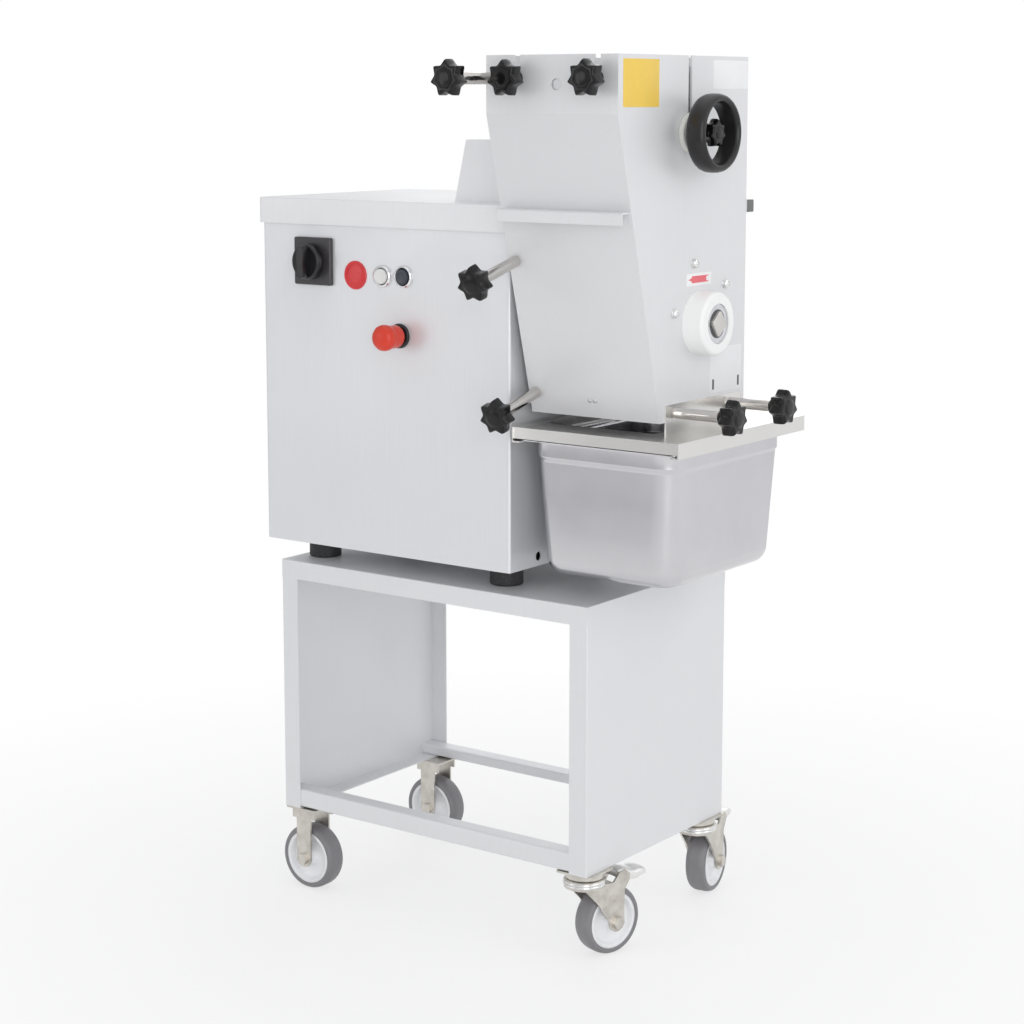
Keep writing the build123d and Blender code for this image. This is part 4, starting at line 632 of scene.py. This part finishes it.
# %% Wheels
tyre_half = [(41.0, 15.2), (42.4, 16.0), (45.4, 15.9), (47.6, 14.2), (49.0, 11.4),
             (49.3, 10.7), (49.05, 10.3), (49.5, 9.8), (50.0, 6.5)]
hub_half = [(6.2, 18.6), (9.6, 18.6), (12.6, 18.0), (13.4, 17.0), (14.4, 8.4), (16.6, 6.8),
            (31.2, 5.6), (33.4, 6.4), (34.6, 9.6), (35.6, 14.4), (37.0, 15.4), (38.6, 15.4),
            (39.4, 14.6), (40.9, 14.4)]
axle_of = {joint["child"]: joint["axis"] for joint in frame["joints"]
           if joint["child"].startswith("wheel_")}
for body, axle in axle_of.items():
    tag = body[len("wheel_"):]
    place = stand_at(middle_of("tyre_" + tag), axle)
    spin_piece("tyre_" + tag + "_moulding", body, tyre_rubber, place,
               mirrored(tyre_half), 128, ("tyre_" + tag,), smooth=50.0)
    spin_piece("wheel_centre_" + tag, body, hub_nylon, place,
               mirrored(hub_half), 96, ("wheel_hub_" + tag,), smooth=50.0)
print("wheels:", sorted(axle_of))

# %% [markdown]
# The knife shaft ends in the bearing hub with a square for a key. A grey seal ring surrounds
# it; the gap inside the ring is a near-black disc of painted shade. On the casters, two rolled
# races sit round the king pin.

# %% Shaft end and caster races
shaft_place = stand_at((plate_right, 0.1, 914.8), RIGHT)
ring_outline = [(21.6, 25.5), (21.6, 27.6), (22.4, 28.6), (26.4, 28.9), (27.3, 28.2),
                (27.3, 25.5)]
gap_shade_outline = [(0.0, 29.15), (19.8, 29.15), (21.5, 27.6), (21.5, 25.6)]
spin_piece("shaft_seal_ring", "shaft_front", turned_ring, shaft_place,
           ring_outline, 96)
# Painted shade: this near-black disc fills the gap between the square end and the seal ring.
spin_piece("shaft_gap_shade_disc", "shaft_front", ink_and_shade_grey, shaft_place,
           gap_shade_outline, 64)

square_half, square_turn, square_foot, square_tall = 13.4, 38.0, 28.4, 5.2
bm = bmesh.new()
block = bmesh.ops.create_grid(bm, x_segments=1, y_segments=1, size=square_half * mm)["verts"]
bmesh.ops.rotate(bm, verts=block, cent=(0, 0, 0),
                 matrix=Matrix.Rotation(math.radians(square_turn), 3, "Z"))
extrude(bm, bm.faces[:], square_tall)
bmesh.ops.translate(bm, verts=bm.verts, vec=(0, 0, square_foot * mm))
round_posts(bm, 4.0, 6, tall=1.0)
soften(bm, 0.7, angle=50.0)
settle(bm, "shaft_square_end", "shaft_front", ground_end, shaft_place)

race_outline = [(29.6, 111.2), (30.6, 111.6), (31.2, 113.0), (30.6, 114.4), (29.9, 115.0),
                (30.6, 115.8), (31.0, 117.2), (30.2, 118.8), (28.6, 119.6), (28.6, 111.2),
                (29.6, 111.2)]
for tag in ("front", "rear"):
    centre = middle_of("swivel_plate_" + tag)
    spin_piece("race_ring_" + tag, "swivel_" + tag, bolt_steel,
               stand_at((centre.x, centre.y, 0.0), UP, (0, 1, 0)), race_outline, 96,
               smooth=60.0)
print("shaft end and races done")

# %% [markdown]
# ## Food pan
# A deep-drawn pan has no sharp edge anywhere: wide corners, a rounded foot, a small
# shoulder under the rim and a turned-out edge. One ring of points is laid as a rounded
# rectangle and extruded from the middle of the floor up the inside, over the rim and
# down the outside, so that the sheet has its real thickness.

# %% Ring of a rounded rectangle
CORNER_STEPS, SIDE_STEPS = 16, 8


def lay_rounded(verts, number, half_x, half_y, radius, height):
    """Lay numbered points on a rounded rectangle."""
    for vert in verts:
        quarter, step = divmod(int(round(vert[number])), CORNER_STEPS + SIDE_STEPS)
        ax, ay = (half_y, half_x) if quarter % 2 else (half_x, half_y)
        if step <= CORNER_STEPS:
            angle = math.pi / 2 * step / CORNER_STEPS
            x = ax - radius + radius * math.cos(angle)
            y = ay - radius + radius * math.sin(angle)
        else:
            x, y = (ax - radius) * (1 - 2 * (step - CORNER_STEPS) / SIDE_STEPS), ay
        turn = Matrix.Rotation(quarter * math.pi / 2, 3, "Z")
        vert.co = turn @ Vector((x, y, height)) * mm


# %% Pan
pan_floor, foot_radius, foot_steps = 559.6, 24.0, 16
floor_half, floor_corner = 88.0, 16.0
wall_foot_half, wall_foot_corner, wall_lean, wall_tall = 112.0, 40.0, 6.0, 139.0
longer_by = 30.0  # half the difference between the pan's length and its width


def pan_section(skin):
    """Outside (skin 0) or inside (skin 1) of the sheet: (half width, corner, height)."""
    bend = foot_radius - skin
    wall_foot = pan_floor + foot_radius
    rows = []
    for step in range(foot_steps // 2 + 1):
        out = bend * math.sin(math.pi * step / foot_steps)
        up = bend * math.cos(math.pi * step / foot_steps)
        rows.append((floor_half + out, floor_corner + out, wall_foot - up))
    for share in (0.3, 0.65, 0.985):
        rows.append((wall_foot_half + wall_lean * share - skin,
                     wall_foot_corner - wall_lean * share - skin,
                     wall_foot + wall_tall * share))
    shoulder = ((118.3, 724.4), (119.4, 725.7), (120.3, 727.0), (120.5, 729.4), (120.5, 746.5))
    for half, height in shoulder:
        rows.append((half - skin, half - 84.0 - skin, height))
    if skin:
        rows += [(119.9, 35.0, 749.6), (120.8, 34.0, 751.2), (122.4, 31.0, 751.6),
                 (131.6, 16.0, 751.6), (132.4, 15.6, 751.3)]
    else:
        rows += [(120.9, 35.6, 748.6), (122.4, 32.0, 750.0), (131.8, 16.0, 750.0),
                 (132.5, 16.0, 750.5)]
    return rows


bm = bmesh.new()
number = bm.verts.layers.float.new("number")
ring_points = 4 * (CORNER_STEPS + SIDE_STEPS)
ring = bmesh.ops.create_circle(bm, cap_ends=False, radius=1.0, segments=ring_points)["verts"]
for index, vert in enumerate(ring):
    vert[number] = index
edges = list({e for v in ring for e in v.link_edges})
floor_edges = list(edges)
rows = pan_section(1.0) + pan_section(0.0)[::-1]
for index, (half, radius, height) in enumerate(rows):
    if index:
        made = bmesh.ops.extrude_edge_only(bm, edges=edges)["geom"]
        edges, ring = new_edges(made), new_verts(made)
    lay_rounded(ring, number, half, half + longer_by, radius, height)
bmesh.ops.contextual_create(bm, geom=floor_edges)
bmesh.ops.contextual_create(bm, geom=edges)
bm.verts.layers.float.remove(number)
settle(bm, "pan_shell", "pan", drawn_steel,
       Matrix.Translation((0.2182, 0.0155, 0.0)), ("food_pan",), smooth=60.0)
print("pan sheet rows:", len(rows))

# %% [markdown]
# ## Brake pedals
# The pedals on the casters are pressings with a rolled sleeve on the pin, a waist, and a
# drooping tread with turned-down sides. A grid is shaped as the top skin, extruded down
# for its depth, and subdivision softens it.

# %% Pedals
pin_below_top = 6.5  # the pin's axis under the top of the CAD pedal
pedal_root, pedal_half_length = 49.5, 29.6
neck_half, tread_half = 16.6, 18.4
flank, tip_flank = 13.0, 5.0  # how far the sides are turned down


def pedal_top(reach):
    """Height of the tread's top over the pin at a distance behind the king pin."""
    points = ((50.0, 6.0), (62.0, 6.3), (72.0, 2.6), (82.0, 1.4), (92.0, 2.2),
              (101.0, 0.0), (108.0, -4.5))
    for (r0, h0), (r1, h1) in zip(points, points[1:]):
        if reach <= r1:
            return h0 + (h1 - h0) * (reach - r0) / (r1 - r0)
    return points[-1][1]


def pedal_depth(reach):
    """Depth of the turned-down sides, which taper to the tip."""
    return flank if reach < 84 else max(tip_flank, flank - (reach - 84) * 0.32)


for tag, pin_y, turn in (("front", -96.5, -15.7), ("rear", 207.5, 9.2)):
    pin_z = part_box("brake_pedal_" + tag)[1].z / mm - pin_below_top
    bm = bmesh.new()
    tread = bmesh.ops.create_grid(bm, x_segments=8, y_segments=14, size=1.0)["verts"]
    for vert in tread:
        across, reach = vert.co.x, pedal_root + pedal_half_length * (vert.co.y + 1.0)
        waist = neck_half if reach < 66 else tread_half
        round_end = math.sqrt(max(0.12, 1.0 - (max(0.0, reach - 96.0) / 12.6) ** 2))
        droop = 2.6 * across ** 4 + (1.8 * (1 - across ** 2) if 72 < reach < 104 else 0.0)
        top = pin_z + pedal_top(reach) - droop
        vert.co = (across * waist * round_end * mm, reach * mm, top * mm)
    for vert in extrude(bm, bm.faces[:]):
        vert.co.z -= pedal_depth(vert.co.y / mm) * mm
    place = Matrix.Translation((0.1705, pin_y * mm, 0))
    place = place @ Matrix.Rotation(math.radians(turn), 4, "Z")
    piece = settle(bm, "pedal_pressing_" + tag, "pedal_" + tag, pedal_steel, place,
                   ("brake_pedal_" + tag,), smooth=70.0)
    rounder = piece.modifiers.new("softer", "SUBSURF")
    rounder.levels = rounder.render_levels = 2
    print("pedal", tag, "pin at", round(pin_z, 1))

# %% [markdown]
# ## Controls
# Buttons are small lathe jobs too: a bright bezel with a rounded lip, a cap with a
# shallow dish, and the mushroom of the emergency stop with its waist. The rotary switch
# knob is a disc with an upright bar grip across it.

# %% Buttons, emergency stop and badge
wall = -136.5
start_place = stand_at((-159.5, wall, 966.5), FRONT)
stop_place = stand_at((-120.0, wall, 967.5), FRONT)
estop_place = stand_at((-129.5, wall, 881.6), FRONT)
badge_place = stand_at((-211.7, wall, 965.6), FRONT)
switch_place = stand_at((-290.0, wall, 983.0), FRONT)

bezel_outline = [(11.35, -11.0), (11.35, 3.6), (12.2, 5.4), (13.6, 6.2), (15.0, 5.6),
                 (16.2, 3.6), (16.5, 0.0)]
cap_outline = [(0.0, 8.2), (4.0, 8.3), (7.6, 8.7), (9.6, 9.0), (10.6, 8.5), (11.0, 7.4),
               (11.0, 4.5), (4.0, 4.5), (4.0, -14.0), (0.0, -14.0)]
collar_outline = [(4.1, 3.9), (16.9, 3.9), (17.7, 3.3), (18.0, 2.4), (18.0, 0.0),
                  (11.0, 0.0), (11.0, -12.0)]
mushroom_outline = [(0.0, 48.5), (6.0, 48.0), (11.6, 46.5), (15.8, 43.9), (18.2, 40.2),
                    (19.0, 35.6), (18.6, 31.8), (17.6, 29.2), (16.9, 27.4), (16.7, 24.0),
                    (16.5, 10.2), (15.8, 8.8), (4.0, 8.6), (4.0, -14.0), (0.0, -14.0)]
badge_outline = [(0.0, 2.3), (10.0, 2.2), (16.6, 1.7), (17.2, 1.3), (18.0, 1.9),
                 (20.2, 1.9), (20.9, 1.2), (21.0, 0.0), (0.0, 0.0)]
for tag, place in (("start", start_place), ("stop", stop_place)):
    spin_piece(tag + "_bezel", "stand", bezel_chrome, place,
               bezel_outline, 80, ("button_bezels",))
spin_piece("estop_collar", "stand", knob_plastic, estop_place,
           collar_outline, 80)
for tag, finish, slot, place in (("start", button_white, "white_plastic", start_place),
                                 ("stop", button_dark, "dark_plastic", stop_place)):
    spin_piece(tag + "_cap", tag, finish, place, cap_outline, 72, (tag + "_button",))
spin_piece("estop_mushroom", "estop", stop_red, estop_place,
           mushroom_outline, 96, ("estop_button",))
spin_piece("badge_blank", "stand", badge_red, badge_place,
           badge_outline, 96, ("badge_disc",))
print("buttons, emergency stop and badge done")

# %% Rotary switch knob
grip_half_width, grip_half_length, grip_foot, grip_crown = 7.6, 25.0, 21.0, 35.6
bm = bmesh.new()
lathe(bm, [
    (0.0, 22.4), (21.8, 22.4), (22.6, 23.0), (24.4, 22.9), (25.7, 21.8), (26.2, 19.6),
    (26.3, 10.2), (20.0, 9.9), (20.0, 7.4), (3.0, 7.3), (3.0, -24.0), (0.0, -24.0),
], steps=96)
grip = bmesh.ops.create_grid(bm, x_segments=6, y_segments=18, size=1.0)["verts"]
for vert in grip:
    end = math.sqrt(max(0.0, 1.0 - max(0.0, abs(vert.co.y) - 0.72) ** 2 / 0.079))
    vert.co = (vert.co.x * grip_half_width * max(end, 0.12) * mm,
               vert.co.y * grip_half_length * mm, grip_foot * mm)
for vert in extrude(bm, faces_on(grip)):
    vert.co = (vert.co.x * 0.82, vert.co.y * 0.96,
               grip_crown * mm - abs(vert.co.y) * 0.05)
soften(bm, 0.9, angle=40.0)
settle(bm, "switch_grip", "switch", knob_plastic, switch_place,
       ("switch_knob",))
print("switch knob done")

# %% [markdown]
# ## Blank plates and the turning arrow
# The right side plate carries small self-adhesive plates. They are left bare here except
# for a plain arrow that shows which way the knives turn. Each is a grid face extruded to
# film thickness with rounded corners.

# %% Plates
film_rim = 0.12


def film(name, finish, y0, y1, z0, z1, thick=0.5, radius=1.5):
    """A thin plate on the right side plate, between two depths and two heights."""
    bm = bmesh.new()
    lay_sheet(bm, y1 - y0, z1 - z0)
    extrude(bm, bm.faces[:], thick)
    round_posts(bm, radius, 5, tall=thick * 0.5)
    rim = [e for e in bm.edges
           if all(v.co.z > thick * mm * 0.9 for v in e.verts) and e.calc_face_angle(0) > 0.5]
    bevel(bm, rim, film_rim, 2)
    foot = (plate_right, (y0 + y1) / 2, (z0 + z1) / 2)
    settle(bm, name, "stand", finish, stand_at(foot, RIGHT))


film("plate_yellow", yellow_film, -194.5, -108.5, 1210.0, 1272.5)
film("plate_white", white_film, 28.5, 121.4, 1234.0, 1273.0)
film("plate_arrow", white_film, -34.2, 29.5, 966.6, 983.8)
film("plate_pale", pale_film, 29.5, 114.6, 812.7, 875.9)
for tag, y in (("a", 38.0), ("b", 106.0)):
    film("plate_bar_" + tag, ink_and_shade_grey, y - 2.2, y + 2.2, 817.5, 832.0,
         thick=0.75, radius=0.6)

arrow_foot, arrow_thick = 0.4, 0.3
outline = [(-28, 0), (-19, 4.8), (-19, 2.5), (18.5, 2.5), (20.5, 4.6), (27, 4.6),
           (27, -4.6), (20.5, -4.6), (18.5, -2.5), (-19, -2.5), (-19, -4.8)]
bm = bmesh.new()
corners = [bm.verts.new((y * mm, z * mm, arrow_foot * mm)) for y, z in outline]
bmesh.ops.contextual_create(bm, geom=corners)
extrude(bm, bm.faces[:], arrow_thick)
settle(bm, "turning_arrow", "stand", ink_red,
       stand_at((plate_right, -2.4, 975.2), RIGHT))
print("plates done")

# %% [markdown]
# ## Fasteners and the rear lug
# Tie bars run between the side plates and end in domed nuts, a small pair of rivets
# closes the foot of the sloping front, and a plastic sleeve sits on the rear lug.

# %% Tie bars and rivets
bar_start = -(plate_right - plate_left - 3.0)
tie_outline = [(0.0, bar_start), (6.0, bar_start), (6.0, -3.2), (4.0, -3.0), (4.0, 0.1),
               (6.8, 0.1), (7.0, 0.9), (6.6, 1.4), (6.5, 3.4), (5.9, 5.2), (4.6, 6.3),
               (3.0, 6.7), (2.4, 6.6), (2.3, 5.4), (0.0, 5.3)]
for index, (y, z) in enumerate(((-15.6, 997.6), (66.7, 964.4), (-65.6, 932.3))):
    spin_piece(f"tie_bar_{index + 1}", "stand", bolt_steel,
               stand_at((plate_right, y, z), RIGHT), tie_outline, 48, ("tie_bars",),
               smooth=50.0)

rivet_z, rivet_radius, rivet_tall = 809.2, 3.6, 1.9
rivet_outline = [
    (rivet_radius, 0.0), (rivet_radius, 0.9), (rivet_radius * 0.93, rivet_tall * 0.45),
    (rivet_radius * 0.74, rivet_tall * 0.75), (rivet_radius * 0.42, rivet_tall * 0.95),
    (0.0, rivet_tall),
]
for index, shift in enumerate((-4.2, 4.2)):
    foot = (185.7 + shift, on_slope(rivet_z), rivet_z)
    spin_piece(f"front_rivet_{index + 1}", "stand", bolt_steel,
               stand_at(foot, slope_out), rivet_outline, 40, smooth=60.0)
print("tie bars and rivets done")

# %% Sleeve on the rear lug
bm = bmesh.new()
lay_sheet(bm, 17.0, 17.6)
extrude(bm, bm.faces[:], 6.0)
soften(bm, 1.6, 4)
settle(bm, "lug_sleeve", "stand", lug_plastic,
       stand_at((287.0, 134.0, 1070.4), RIGHT))
print("sleeve done")

# %% [markdown]
# ## Floor, light and camera
# The floor is plain and pale. Close to the machine it shows its shadow, and further out
# it fades into the white of the backdrop. The world is an even light tent, a little
# brighter to the right and above where metal mirrors it, and six soft panels give the
# sheets their gentle gradients.

# %% Floor
floor_radius, fade_from, fade_to, fade_least = 2.4, 0.45, 1.5, 0.68
bm = bmesh.new()
bmesh.ops.create_circle(bm, cap_ends=True, radius=floor_radius, segments=96)
mesh = bpy.data.meshes.new("floor")
bm.to_mesh(mesh)
bm.free()
floor = bpy.data.objects.new("floor", mesh)
bpy.context.scene.collection.objects.link(floor)
floor_finish = bpy.data.materials.new("floor_pale")
floor_finish.use_nodes = True
tree = floor_finish.node_tree
tree.nodes.clear()
spot = object_place(tree)
far = knit(tree, "ShaderNodeVectorMath", {0: spot}, operation="LENGTH").outputs["Value"]
paler = blend_tone(tree, noise(tree, spot, 30.0), (0.90, 0.90, 0.905, 1), (0.93, 0.93, 0.93, 1))
matt = knit(tree, "ShaderNodeBsdfDiffuse", {"Color": paler})
glow = knit(tree, "ShaderNodeEmission", {"Color": (1, 1, 1, 1), "Strength": 1.0})
path = knit(tree, "ShaderNodeLightPath").outputs
seen = maths(tree, "MAXIMUM", path["Is Camera Ray"], path["Is Glossy Ray"])
fade = stretch(tree, far, fade_from, fade_to, fade_least, 1.0)
share = maths(tree, "MULTIPLY", fade, seen)
mixed = {0: share, 1: matt.outputs[0], 2: glow.outputs[0]}
surface = knit(tree, "ShaderNodeMixShader", mixed)
knit(tree, "ShaderNodeOutputMaterial", {"Surface": surface.outputs[0]})
floor.data.materials.append(floor_finish)
print("floor radius:", floor_radius, "m")

# %% Light tent
world = bpy.data.worlds.new("light_tent")
bpy.context.scene.world = world
world.use_nodes = True
tree = world.node_tree
tree.nodes.clear()


def backdrop(colour, strength):
    """Output of one background shader of the tent."""
    ins = {"Color": (*colour, 1), "Strength": strength}
    return knit(tree, "ShaderNodeBackground", ins).outputs[0]


tent_side = (0.74, 0.32, 0.59)  # where the tent is brightest, to the right and above
path = knit(tree, "ShaderNodeLightPath").outputs
seen = maths(tree, "MAXIMUM", path["Is Camera Ray"], path["Is Transmission Ray"])
heading = knit(tree, "ShaderNodeTexCoord").outputs["Generated"]
toward = knit(tree, "ShaderNodeVectorMath", {0: heading, 1: tent_side},
              operation="DOT_PRODUCT").outputs["Value"]
tent = backdrop((0.975, 0.985, 1.0), 0.62)
mirror = backdrop((0.98, 0.985, 1.0), stretch(tree, toward, -0.8, 0.8, 0.54, 1.05))
white = backdrop((1, 1, 1), 1.0)
lit = knit(tree, "ShaderNodeMixShader", {0: path["Is Glossy Ray"], 1: tent, 2: mirror})
sky = knit(tree, "ShaderNodeMixShader", {0: seen, 1: lit.outputs[0], 2: white})
knit(tree, "ShaderNodeOutputWorld", {"Surface": sky.outputs[0]})
print("light tent nodes:", len(tree.nodes))


# %% Soft panels
def soft_panel(name, place, target, size, power):
    """A rectangular lamp that faces a point and that the camera doesn't see."""
    lamp = bpy.data.lights.new(name, "AREA")
    lamp.shape = "RECTANGLE"
    lamp.size, lamp.size_y = size
    lamp.energy = power
    holder = bpy.data.objects.new(name, lamp)
    bpy.context.scene.collection.objects.link(holder)
    holder.location = place
    facing = Vector(target) - Vector(place)
    holder.rotation_euler = facing.to_track_quat("-Z", "Y").to_euler()
    holder.visible_camera = False


# place, point it faces, width and height in metres, then power in watts
soft_panel("panel_fill", (2.7, -2.7, 1.35), (0, 0, 0.7), (1.6, 2.7), 38.0)
soft_panel("panel_right", (3.4, 0.6, 2.4), (0, 0, 0.7), (2.2, 2.2), 14.0)
soft_panel("panel_front", (-2.7, -3.3, 1.0), (0, 0, 0.8), (0.8, 1.8), 7.0)
soft_panel("panel_head", (-1.7, -3.5, 1.5), (0.3, -0.2, 1.2), (0.9, 1.0), 4.0)
soft_panel("panel_top", (0.2, 0.4, 3.6), (0, 0, 0.9), (2.6, 2.6), 9.0)
soft_panel("panel_back", (-1.6, 3.4, 2.0), (0, 0, 0.7), (2.4, 2.4), 18.0)
print("soft panels:", len(bpy.data.lights))

# %% Camera
tilt_down, turn_left = 8.266, 36.222
camera_data = bpy.data.cameras.new("camera")
camera = bpy.data.objects.new("camera", camera_data)
bpy.context.scene.collection.objects.link(camera)
camera.location = (1.9114, -2.6489, 1.2236)
camera.rotation_euler = (math.radians(90 - tilt_down), 0, math.radians(turn_left))
camera_data.sensor_width = 36.0
camera_data.lens = 79.11
camera_data.shift_y = -0.0865
camera_data.clip_start, camera_data.clip_end = 0.05, 60.0
bpy.context.scene.camera = camera
bpy.context.scene.view_settings.view_transform = "Standard"
print("camera at", tuple(camera.location))
